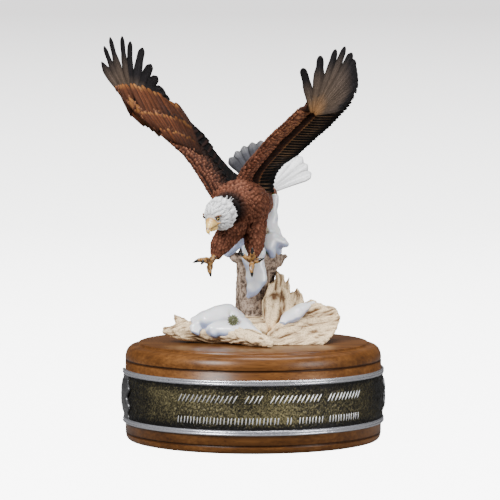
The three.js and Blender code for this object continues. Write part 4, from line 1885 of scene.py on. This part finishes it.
    def cover_arm(self, coat: Plumage, wing: Wing, side: Side) -> None:
        """Rows of scale feathers over one face of a wing's arm.

        Args:
            coat: takes the feathers.
            wing: the wing.
            side: Side.BACK or Side.BELLY.
        """
        arm = wing.arm
        last = 0.62 if side == Side.BACK else 0.42
        chord = float(np.linalg.norm(arm.rear.at(np.array([0.5])) - arm.front.at(np.array([0.5]))))
        row, c = 0, 0.012
        while c < last:
            steps = int(arm.front.length / (2.9 * MM * (0.85 + 0.6 * c / last)))
            for index in range(steps):
                s = (index + 0.5 * (row % 2) + self.draw(-0.2, 0.2)) / steps
                end = wing.cover_end[0] + (wing.cover_end[1] - wing.cover_end[0]) * c / last
                if not 0.03 < s < max(end, 0.97 * (c < 0.1 and wing.shown == Side.BACK)):
                    continue
                spot = np.array([s])
                place = arm.skin(spot, np.array([c]), side)[0]
                span = arm.front.heading(spot)[0]
                back = unit(arm.rear.at(spot)[0] - arm.front.at(spot)[0])
                flow = unit(back * (0.6 + 0.4 * c) + span * self.draw(0.35, 1.2))
                # Painted shade: on the back face the scales darken towards the trailing edge, less towards
                # the wrist.
                dusk = 0.0
                if side == Side.BACK:
                    dusk = float(smooth(0.1, 0.36, c + self.draw(-0.05, 0.05)))
                dusk *= 1 - 0.4 * float(smooth(0.4, 0.75, s))
                base, tip = self.brown(self.draw(0.2, 0.9))
                glint = float(smooth(0.25, 0.7, s)) * self.draw(0.2, 0.8)
                tip = blend(tip, PAINT.gold, glint * (0.4 + 0.6 * c))
                base = blend(base, PAINT.umber_dark, 0.35 + 0.4 * c)
                # Painted light: on the belly face that is shown, the same browns are laid lighter.
                if side == wing.shown == Side.BELLY:
                    base, tip = base * 1.8, tip * 1.5
                grow = (0.8 + 0.5 * s) * (0.85 + 0.5 * c / last)
                coat.feathers.append(Feather(
                    place, flow, 5.4 * grow * self.draw(0.8, 1.15) * MM, 2.3 * grow * MM,
                    base * (1 - 0.85 * dusk), tip * (1 - 0.92 * dusk) * self.draw(0.75, 1.2),
                    (0.7 + 0.6 * self.rng.random()) * MM))
            c += 2.9 * MM * (0.85 + 0.6 * c / last) / chord
            row += 1

    def cover_limb(self, coat: Plumage, limb: Limb, start: float, end: float, pitch: float,
                   size: float, color: Callable[[Array], tuple[Array, Array]], lift: float = 0.0008,
                   source: Array | None = None) -> None:
        """Rings of feathers down a rounded limb.

        Args:
            coat: takes the feathers.
            limb: the limb, whose feathers point along it.
            start: where the first ring is, 0 to 1.
            end: where the last ring is.
            pitch: the space between rings, in millimetres.
            size: a feather's length, in millimetres.
            color: gives a base and a tip colour for a place.
            lift: how far the tips stand off, in metres.
            source: a point in millimetres that the feathers spread away from, if any.
        """
        rings = max(2, int(abs(end - start) * limb.route.length / (pitch * MM)))
        for ring in range(rings):
            v = start + (end - start) * ring / (rings - 1)
            radius = float(along(limb.wide, np.array([v]))[0])
            count = max(6, int(2 * math.pi * radius / (size * 0.62)))
            for index in range(count):
                u = (index + 0.5 * (ring % 2) + self.draw(-0.15, 0.15)) / count
                place = limb.at(np.array([u]), np.array([v]))[0]
                flow = limb.route.heading(np.array([v]))[0] * (1 if end > start else -1)
                if source is not None:
                    flow = unit(place - source * MM)
                flow = unit(flow + self.rng.normal(0, 0.12, 3))
                base, tip = color(place)
                length = size * self.draw(0.85, 1.2) * MM
                slim = 0.42 if source is None else 0.3
                coat.feathers.append(Feather(place, flow, length, length * slim, base, tip,
                                             lift * self.draw(0.7, 1.3)))

    def body_color(self, place: Array) -> tuple[Array, Array]:
        """Charcoal round the ruff, rust and umber behind it.

        Args:
            place: the feather's root in metres.

        Returns:
            Its base and tip colours.
        """
        base, tip = self.brown(self.draw(0.25, 0.95))
        away = np.linalg.norm(place / MM - np.array((-30, -70, 226)))
        dusk = 0.82 * smooth(28.5, 18, away)
        return blend(base, PAINT.black, dusk), blend(tip, PAINT.collar, dusk)

    def clothe(self, skin: BVHTree) -> None:
        """Lays the small feathers over wings, body and thighs.

        Args:
            skin: the surface of the bird.
        """
        for wing in self.wings:
            coat = Plumage(wing.name + "_coverts", Cut.SCALE, crown=0.12, wash_and_shade=0.55)
            for side in (Side.BACK, Side.BELLY):
                self.cover_arm(coat, wing, side)
            self.keep_near(coat, skin)
            finish = PlumeFinish(wing.name + "_covert_paint", 5).build()
            show(coat.lay(skin), finish, "painted_feathers", "eagle")
        coat = Plumage("body_feathers", Cut.SCALE, crown=0.1, wash_and_shade=0.5)
        self.cover_limb(coat, self.torso, 0.02, 0.97, 2.7, 6.0, self.body_color)
        self.cover_limb(coat, self.rump, 0.2, 0.9, 3.6, 6.4, self.body_color)
        for thigh in self.thighs:
            self.cover_limb(coat, thigh, 0.15, 0.95, 2.5, 6.0, self.body_color, 0.001)
        self.keep_near(coat, skin)
        show(coat.lay(skin), PlumeFinish("body_paint", 5).build(), "painted_feathers", "eagle")

    def keep_near(self, coat: Plumage, skin: BVHTree) -> None:
        """Drops feathers whose root is buried where forms meet.

        Args:
            coat: the feathers to sort.
            skin: the surface of the bird.
        """
        coat.feathers = [
            feather for feather in coat.feathers
            if skin.find_nearest(Vector(feather.root))[3] < self.buried
        ]

    # ---- the long feathers

    def remiges(self, wing: Wing) -> BladeFan:
        """The secondaries of a wing's arm, on both faces.

        Args:
            wing: the wing.

        Returns:
            The fan.
        """
        fan = BladeFan(wing.name + "_secondaries", 8, 14)
        arm = wing.arm
        for face_side in (Side.BACK, Side.BELLY):
            barred = face_side == wing.shown == Side.BELLY
            count = 34 if barred else 19
            reach = 0.03 if barred else 0.1
            start = 0.46 if barred else 0.5
            for index in range(count):
                s = 0.1 + (0.8 if wing.shown == Side.BELLY else 0.86) * index / (count - 1)
                spot = np.array([s])
                root = arm.skin(spot, np.array([start]), face_side)[0]
                middle = arm.point(min(s + 0.6 * reach, 1.0), 0.8, face_side)
                tip = arm.point(min(s + reach, 1.0), 1.0, face_side)
                grow = 1.1 + 0.5 * s if barred else 1
                tip = tip + unit(tip - middle) * self.draw(2.6, 3.6) * grow * MM
                normal = arm.normal(spot)[0] * face_side
                lift = normal * 0.0009
                bow = middle - (root * 0.45 + tip * 0.55) + normal * 0.0014
                # Painted shade along with the feathers' own dark paint: the secondaries darken towards the
                # body.
                near = 1 - smooth(0.5, 0.85, s)
                if barred:
                    dark = blend(PAINT.umber_dark, PAINT.black, 0.3 + 0.7 * near)
                    colors = [(0, PAINT.umber_dark), (0.3, tuple(dark)), (1, PAINT.black)]
                    edge = tuple(blend(paint(176, 142, 110), PAINT.slate, self.draw(0, 0.6)))
                else:
                    dark = blend(PAINT.charcoal, PAINT.black, 0.5 + 0.5 * near)
                    colors = [(0, tuple(dark)), (0.5, tuple(dark * 0.8)), (1, tuple(dark * 0.7))]
                    edge = tuple(blend(PAINT.charcoal, PAINT.umber, 0.4))
                width = arm.front.length / MM * 0.86 / count * (0.66 if barred else 0.7)
                stations = [(0, width * 0.7), (0.4, width), (0.85, width), (0.96, width * 0.85),
                            (1, width * 0.5)]
                fan.blades.append(Blade(root + lift, tip + lift, bow, normal, stations, colors, 1.3, edge))
        return fan

    def covert_row(self, fan: BladeFan, wing: Wing, view: int, index: int, skin: BVHTree) -> None:
        """One row of long coverts that reaches from the row behind it.

        Args:
            fan: takes the blades.
            wing: the wing, with its rows of tips from the hand towards the body.
            view: 1 for the front, -1 for the back.
            index: which row.
            skin: the surface of the arm.
        """
        tips, roots = np.array(wing.rows[index], float), np.array(wing.rows[index + 1], float)
        count = (16, 20, 22)[index]
        lift = 2.4 + 0.15 * index
        for step in range(count):
            t = (step + 0.5) / count * (len(tips) - 1)
            places = np.arange(len(tips))
            tip = np.array([np.interp(t, places, tips[:, k]) for k in (0, 1)])
            root = np.array([np.interp(t, places, roots[:, k]) for k in (0, 1)])
            root = root + (root - tip) * 0.35
            tip = tip + self.rng.normal(0, 0.7, 2)
            # Painted shade: each row darkens towards the body, the more so the nearer the row lies to the
            # body.
            near = float(smooth(0.4, 0.9, step / (count - 1))) * (0.25, 0.6, 0.95)[index]
            tone = blend(PAINT.umber, PAINT.amber, self.draw(0.05, 0.5)) * 0.9
            gold = blend(PAINT.gold, PAINT.amber, self.draw(0.3, 0.85))
            tone, gold = tone * (1 - 0.7 * near), gold * (1 - 0.75 * near)
            first, last, bow = wing.draped(root, tip, view, skin, lift)
            face = np.array((-wing.slope[0], 1, -wing.slope[1])) * -view
            length = float(np.linalg.norm(last - first)) / MM
            half = (2.9, 2.1, 1.7)[index]
            fan.blades.append(Blade(
                first, last, bow, unit(face),
                [(0, half * 0.6), (0.5, half), (0.85, half * 0.95), (1, half * 0.55)],
                [(0, tuple(tone * 0.3)), (0.55, tuple(tone * 0.8)), (0.84, tuple(tone)),
                 (1 - 1.2 / length, tuple(gold)), (1, tuple(gold * 0.8))], 1.3))

    def long_coverts(self, wing: Wing, skin: BVHTree) -> BladeFan:
        """The rows of long coverts over the roots of the hand's and the arm's feathers.

        Args:
            wing: the wing.
            skin: the surface of the bird.

        Returns:
            The fan.
        """
        fan = BladeFan(wing.name + "_long_coverts", 8, 14)
        for view in (1, -1):
            shown = view == 1 and wing.shown == Side.BELLY
            for index in range(len(wing.rows) - 1):
                if shown:
                    continue
                self.covert_row(fan, wing, view, index, skin)
            if wing.shown == Side.BACK:
                self.alula(fan, wing, view, skin)
            if shown:
                self.groove_coverts(fan, wing)
        fan.blades = [blade for blade in fan.blades if blade.hugs(skin, self.hug)]
        return fan

    def alula(self, fan: BladeFan, wing: Wing, view: int, skin: BVHTree) -> None:
        """The golden-brown group of feathers along the wrist's leading edge.

        Args:
            fan: takes the blades.
            wing: the wing.
            view: 1 for the front, -1 for the back.
            skin: the surface of the bird.
        """
        for step in range(6):
            t = step / 5
            root = np.array((-92 - 16 * t + 3 * (step % 2), 296 + 13 * t))
            tip = root + np.array((-15 - 2 * t, 21 + 4 * t))
            tone = blend(PAINT.rust, PAINT.gold, self.draw(0.1, 0.5))
            first, last, bow = wing.draped(root, tip, view, skin, 2.8)
            face = unit(np.array((-wing.slope[0], 1, -wing.slope[1])) * -view)
            fan.blades.append(Blade(first, last, bow, face, [(0, 1.6), (0.5, 2.7), (0.85, 2.4), (1, 1.0)],
                                    [(0, tuple(tone * 0.5)), (0.7, tuple(tone * 0.8)),
                                     (1, tuple(blend(PAINT.gold, PAINT.amber, 0.6)))], 1.2,
                                    PAINT.umber_dark))

    def groove_coverts(self, fan: BladeFan, wing: Wing) -> None:
        """Short gold-tipped coverts between the arm's band and the barred feathers.

        Args:
            fan: takes the blades.
            wing: the wing.
        """
        arm = wing.arm
        count = 30
        for index in range(count):
            s = 0.12 + 0.72 * index / (count - 1)
            root = arm.point(s, 0.36, Side.BELLY)
            tip = arm.point(s + 0.03, 0.6 - 0.08 * s, Side.BELLY)
            normal = -arm.normal(np.array([s]))[0]
            glow = self.draw(0.2, 1.0) * (0.4 + 0.6 * smooth(0.1, 0.5, s))
            tone = blend(PAINT.umber_dark, PAINT.umber, glow)
            fan.blades.append(Blade(root + normal * 0.0008, tip + normal * 0.0022, normal * 0.0014, normal,
                                    [(0, 1.6), (0.6, 2.5), (0.88, 2.2), (1, 0.9)],
                                    [(0, tuple(tone * 0.5)), (0.6, tuple(tone)),
                                     (1, tuple(blend(PAINT.rust, PAINT.gold, glow)))], 1.2, PAINT.umber_dark))

    def fletch(self, skin: BVHTree) -> None:
        """Makes the primaries, secondaries and long coverts of both wings.

        Args:
            skin: the surface of the bird.
        """
        for wing in self.wings:
            for fan, seed, kind, barbs in (
                (wing.hand(), wing.seed, "_primary_paint", 46),
                (self.remiges(wing), wing.seed + 5, "_secondary_paint", 26),
                (self.long_coverts(wing, skin), wing.seed + 9, "_long_paint", 18),
            ):
                finish = PlumeFinish(wing.name + kind, barbs).build()
                show(fan.lay(seed), finish, "painted_feathers", "eagle")

    def tail(self) -> None:
        """The fanned white tail, cupped to the front and grey-shaded on the right wing's side."""
        fan = BladeFan("tail_feathers", 10, 20, 0.85)
        root = np.array((12, 43, 238.0))
        count = 12
        for index in range(count):
            share = index / (count - 1)
            spread = 2 * share - 1
            turn = math.radians(136 + (23 - 136) * share)
            ahead = np.array((math.cos(turn), 0, math.sin(turn)))
            lean = 32 - 14 * spread * spread
            tip = root + ahead * (50 + 2 * (1 - spread * spread)) + (0, lean, 0)
            # Painted shade: the wings' shadow greys the feathers on the right wing's side, and every root is
            # darker, most on that side.
            gray = float(smooth(0.7, 0.4, share))
            tone = blend(PAINT.white, PAINT.shade, gray)
            inner = blend(tone, PAINT.charcoal, 0.68 * gray + 0.24)
            fan.blades.append(Blade(
                (root + ahead * 4) * MM, tip * MM, np.array((0, 0.005, 0)),
                unit(np.array((0.1, -0.86, 0.5))),
                [(0, 2.4), (0.5, 4.6), (0.8, 6.0), (0.92, 5.4), (1, 2.6)],
                [(0, tuple(inner)), (0.45, tuple(blend(tone, inner, 0.5))), (0.8, tuple(tone)),
                 (1, tuple(blend(PAINT.white, tone, 0.85)))], 1.9))
        show(fan.lay(self.seed), PlumeFinish("tail_paint", 30, 0.5, 0.05).build(),
             "painted_white_feathers", "eagle")

    # ---- head, legs and talons

    def head(self) -> None:
        """The skull, its coat of white lances and the mouth line."""
        skull = Limb([(-26, -66, 228), (-29.5, -70, 226), (-33, -75, 223), (-37.5, -81, 220),
                      (-40.5, -85, 217.5)], (8.6, 13.2, 14.2, 11, 5.4))
        beak_root = np.array((-40.5, -87.5, 217.5))
        mesh = fused(merged([wrapped(skull, 40, 40)], "head_skin"), 0.0009, 4)
        tree = surface_tree(mesh)
        put_colors(mesh, paint(226, 224, 222))
        show(mesh, WashedFinish("head_paint", 900).build(), "painted_white_feathers", "eagle")
        coat = Plumage("head_feathers", Cut.LANCE, crown=0.3, sink=0.0006, wash_and_shade=0.34)

        def white(_: Array) -> tuple[Array, Array]:
            """A white base and tip, a little different each time."""
            full = np.array(PAINT.white) * self.draw(0.9, 1.0)
            return full * 0.97, np.minimum(full * 1.15, 0.95)

        self.cover_limb(coat, skull, 0.92, 0.4, 1.25, 5.2, white, 0.0008, beak_root)
        self.cover_limb(coat, skull, 0.5, 0.16, 1.4, 8.4, white, 0.0028, beak_root)
        self.skull = tree
        eyes = [self.on_skull(spot, 0.5) * MM for spot in self.eye_spots]
        coat.feathers = [
            feather for feather in coat.feathers
            if min(float(np.linalg.norm(feather.root + feather.flow * feather.length * share - eye))
                   for eye in eyes for share in (0, 0.35, 0.7, 1)) > 0.0025
        ]
        self.gape()
        finish = PlumeFinish("ruff_paint", 4, 0.5, 0.05).build()
        show(coat.lay(tree), finish, "painted_white_feathers", "eagle")

    def gape(self) -> None:
        """The yellow mouth line that runs back under each eye."""
        parts = []
        for spots in (((-38.8, -93, 212), (-35, -92, 213.4), (-30.6, -90, 215.8)),
                      ((-44, -90, 212), (-46.8, -86, 213.6), (-48.2, -80, 216))):
            line = [tuple(self.on_skull(spot, 0.9)) for spot in spots]
            parts.append(wrapped(Limb(line, (1.5, 1.3, 0.5), (1.1, 1.0, 0.4)), 14, 16))
        mesh = merged(parts, "gape")
        put_colors(mesh, PAINT.cere)
        show(mesh, GlossFinish("gape_paint", 0.4, 0.3).build(), "painted_horn", "eagle")

    def beak(self) -> None:
        """The hooked beak with its cere, and the lower jaw."""
        upper = Limb([(-39.2, -83, 216.8), (-40.6, -90, 215.4), (-42.2, -94, 211.8), (-42.8, -95.2, 208.8),
                      (-41.6, -93.6, 206)],
                     (6.4, 6.0, 4.6, 2.6, 0.5), (5.4, 5.2, 4.0, 2.3, 0.6), tuple(-self.gaze))
        lower = Limb([(-37.6, -84, 213.6), (-38.8, -88.5, 211.4), (-39.8, -90.5, 209)],
                     (4.8, 3.8, 1.2), (3.0, 2.2, 1.0), tuple(-self.gaze))
        parts = [wrapped(upper, 36, 40), wrapped(lower, 28, 24)]
        mesh = merged(parts, "beak")
        spots = read_points(mesh) / MM
        down = 221.5 - spots[:, 2]
        tone = blend(PAINT.cere, PAINT.horn, smooth(1.5, 5.5, down))
        tone = blend(tone, paint(246, 206, 120), smooth(9, 14, down))
        jaw = np.abs(spots[:, 2] - (213.8 + 0.35 * (spots[:, 1] + 90)))
        tone = blend(paint(150, 88, 44), tone, smooth(0.2, 1.2, jaw))
        put_colors(mesh, tone)
        show(mesh, GlossFinish("beak_paint", 0.34, 0.25).build(), "painted_horn", "eagle")

    def eyes(self) -> None:
        """Pale eyes with black pupils under feathered brows."""
        parts, brows = [], []
        for side, spot in zip((-1, 1), self.eye_spots):
            centre = self.on_skull(spot, 0.1)
            bm = bmesh.new()
            ops.create_uvsphere(bm, u_segments=24, v_segments=16, radius=2.1 * MM)
            ops.translate(bm, verts=bm.verts, vec=Vector(centre * MM))
            parts.append(bm)
            brows.append(wrapped(Limb(
                [tuple(self.on_skull(centre + np.array(step), rise)) for step, rise in (
                    ((-3.2 * side, -2.0, 0.9), 0.9), ((0.2, -1.5, 2.5), 1.6), ((3.8 * side, 0.5, 2.6), 0.9))],
                (0.5, 0.9, 0.4), (0.5, 0.8, 0.4)), 14, 16))
        mesh = merged(parts, "eyes")
        spots = read_points(mesh) / MM
        tone = np.tile(paint(214, 196, 150), (len(spots), 1))
        for side, spot in zip((-1, 1), self.eye_spots):
            centre = self.on_skull(spot, 0.1)
            look = unit(self.gaze * 0.9 + self.left * side)
            away = spots - centre
            near = np.linalg.norm(away, axis=1) < 3
            facing = unit(away) @ look
            ring = blend(blend(PAINT.black, paint(206, 176, 110), smooth(0.7, 0.78, facing)),
                         PAINT.black, smooth(0.88, 0.9, facing))
            tone[near] = ring[near]
        put_colors(mesh, tone)
        show(mesh, GlossFinish("eye_paint", 0.08, 0.0).build(), "painted_horn", "eagle")
        mesh = merged(brows, "brows")
        put_colors(mesh, paint(150, 112, 88))
        show(mesh, WashedFinish("brow_paint", 900).build(), "painted_white_feathers", "eagle")

    def feet(self) -> None:
        """Scaled ochre feet with black talons."""
        toes = (
            ((-41.5, -67, 178), ((-50, -74, 180.5), (-58, -78, 178)), ((-46, -76, 181), (-50, -84, 176.5)),
             ((-42, -72, 172), (-40.5, -72, 163.5)), ((-41, -62, 176), (-39.5, -59, 170))),
            ((-1.3, -61, 178), ((-1, -69, 185), (-1, -72, 192.5)), ((-8, -68, 183), (-13.5, -70, 188)),
             ((5, -68, 179.5), (10.5, -70, 182)), ((-1.6, -67, 172), (-1.3, -68, 163))),
        )
        shanks = (
            Limb([(-35, -61, 185), (-39, -65, 181), (-41.5, -67, 178)], (3.3, 3.0, 3.2)),
            Limb([(0, -52, 185), (-1, -57, 181), (-1.3, -61, 178)], (3.5, 3.2, 3.4)),
        )
        parts = [wrapped(shank, 24, 24) for shank in shanks]
        claws = []
        for foot, *ends in toes:
            for middle, point in ends:
                whole = Route([foot, middle, point])
                anchors = whole.at(np.array([0, 0.2, 0.4, 0.6, 0.74])) / MM
                parts.append(wrapped(Limb([tuple(a) for a in anchors], (3.0, 2.5, 2.7, 2.2, 1.9),
                                          None, (0.3, -1, 0.2)), 20, 34))
                hooked = whole.at(np.array([0.66, 0.78, 0.9, 1.0])) / MM
                claws.append(wrapped(Limb([tuple(a) for a in hooked], (1.75, 1.6, 1.1, 0.25),
                                          None, (0.3, -1, 0.2)), 18, 22))
        mesh = fused(merged(parts, "feet"), 0.0006, 2)
        spots = read_points(mesh)
        scutes = Noise(5)(spots, 0.0019)
        rise = 0.28 * MM * np.sign(scutes) * np.abs(scutes) ** 0.5
        write_points(mesh, spots + point_normals(mesh) * rise[:, None])
        put_colors(mesh, blend(paint(104, 66, 34), PAINT.ochre, smooth(-0.5, 0.25, scutes)))
        show(mesh, GlossFinish("foot_paint", 0.42, 0.7).build(), "painted_horn", "eagle")
        mesh = merged(claws, "talons")
        put_colors(mesh, paint(16, 15, 16))
        show(mesh, GlossFinish("talon_paint", 0.18, 0.0).build(), "painted_horn", "eagle")

    def build(self) -> None:
        """Makes and dresses the whole bird."""
        skin = self.skin()
        self.clothe(skin)
        self.fletch(skin)
        self.tail()
        self.head()
        self.beak()
        self.eyes()
        self.feet()


# ---- the studio


@dataclass
class Studio:
    """A pale sweep, soft lights and the camera."""

    camera_at: Point = (-0.00322, -2.95, 0.389)
    pitch: float = 3.96
    lens: float = 217.4

    def sweep(self) -> None:
        """A floor that curves up into a wall, grey at the top and white below."""
        bm = bmesh.new()
        verts = [bm.verts.new((-6, y, z)) for y, z in self.sweep_line()]
        edges = [bm.edges.new(pair) for pair in zip(verts, verts[1:])]
        made = ops.extrude_edge_only(bm, edges=edges)["geom"]
        ops.translate(bm, verts=[v for v in made if isinstance(v, bmesh.types.BMVert)], vec=(12, 0, 0))
        ops.recalc_face_normals(bm, faces=bm.faces)
        if sum(face.normal.z for face in bm.faces) < 0:
            ops.reverse_faces(bm, faces=bm.faces)
        floor = linked("studio_sweep", as_mesh(bm, "studio_sweep"))
        shader = Shader("studio_paper")
        place = shader.node("SeparateXYZ", Vector=shader.spot()).outputs
        far = shader.math("MAXIMUM", shader.math("ADD", place["Y"], 0.4), 0.0)
        share = shader.math("MULTIPLY_ADD", place["Z"], 1.4, shader.math("MULTIPLY", far, 0.08))
        glow = shader.ramp(share, [(0.0, (1, 1, 1)), (0.3, (0.58, 0.58, 0.575)), (1.0, (0.215, 0.21, 0.21))])
        seen = shader.node("LightPath").outputs["Is Camera Ray"]
        shader.set(Base_Color=(0.12, 0.12, 0.12), Roughness=0.5, Specular_IOR_Level=0.2,
                   Emission_Color=glow, Emission_Strength=shader.math("MULTIPLY_ADD", seen, 7.85, 0.15))
        floor.data.materials.append(shader.material)

    def sweep_line(self) -> list[tuple[float, float]]:
        """The sweep's side view, from the front of the floor to the top of the wall.

        Returns:
            Pairs of distance and height in metres.
        """
        line = [(-6.0, 0.0), (3.4, 0.0)]
        for t in np.linspace(0, 1, 24)[1:]:
            turn = t * math.pi / 2
            line.append((3.4 + 0.9 * math.sin(turn), 0.9 * (1 - math.cos(turn))))
        return [*line, (4.3, 4.0)]

    def light(self, name: str, place: Point, size: float, power: float) -> None:
        """A soft square light aimed at the middle of the work.

        Args:
            name: the light's name.
            place: where it hangs, in metres.
            size: the length of its side.
            power: its power in watts.
        """
        lamp = bpy.data.lights.new(name, "AREA")
        lamp.shape = "SQUARE"
        lamp.size = size
        lamp.energy = power
        holder = linked(name, lamp)
        holder.location = place
        aim = Vector((0, 0, 0.2)) - Vector(place)
        holder.rotation_euler = aim.to_track_quat("-Z", "Y").to_euler()

    def build(self) -> None:
        """Sets the sweep, the lights, the world and the camera."""
        self.sweep()
        self.light("key_left", (-1.2, -1.5, 1.5), 0.8, 100)
        self.light("fill_right", (1.6, -1.2, 0.8), 0.9, 36)
        self.light("top_soft", (0.2, 0.2, 1.7), 1.0, 36)
        world = bpy.data.worlds.new("studio_world")
        world.use_nodes = True
        tree = world.node_tree
        tree.nodes["Background"].inputs["Color"].default_value = (0.9, 0.91, 0.93, 1)
        strength = tree.nodes.new("ShaderNodeMath")
        strength.operation = "MULTIPLY_ADD"
        strength.inputs[1].default_value = 3.0
        strength.inputs[2].default_value = 0.3
        tree.links.new(tree.nodes.new("ShaderNodeLightPath").outputs["Is Camera Ray"], strength.inputs[0])
        tree.links.new(strength.outputs[0], tree.nodes["Background"].inputs["Strength"])
        bpy.context.scene.world = world
        lens = bpy.data.cameras.new("studio_camera")
        lens.lens = self.lens
        lens.sensor_width = 36
        camera = linked("studio_camera", lens)
        camera.location = self.camera_at
        camera.rotation_euler = (math.radians(90 - self.pitch), 0, 0)
        bpy.context.scene.camera = camera


def main() -> None:
    """Builds the studio and every piece."""
    logging.basicConfig(level=logging.INFO, format="%(message)s")
    Studio().build()
    WalnutBase().build()
    NameBand().build()
    ScenicMount().build()
    Eagle().build()


if __name__ == "__main__":
    main()
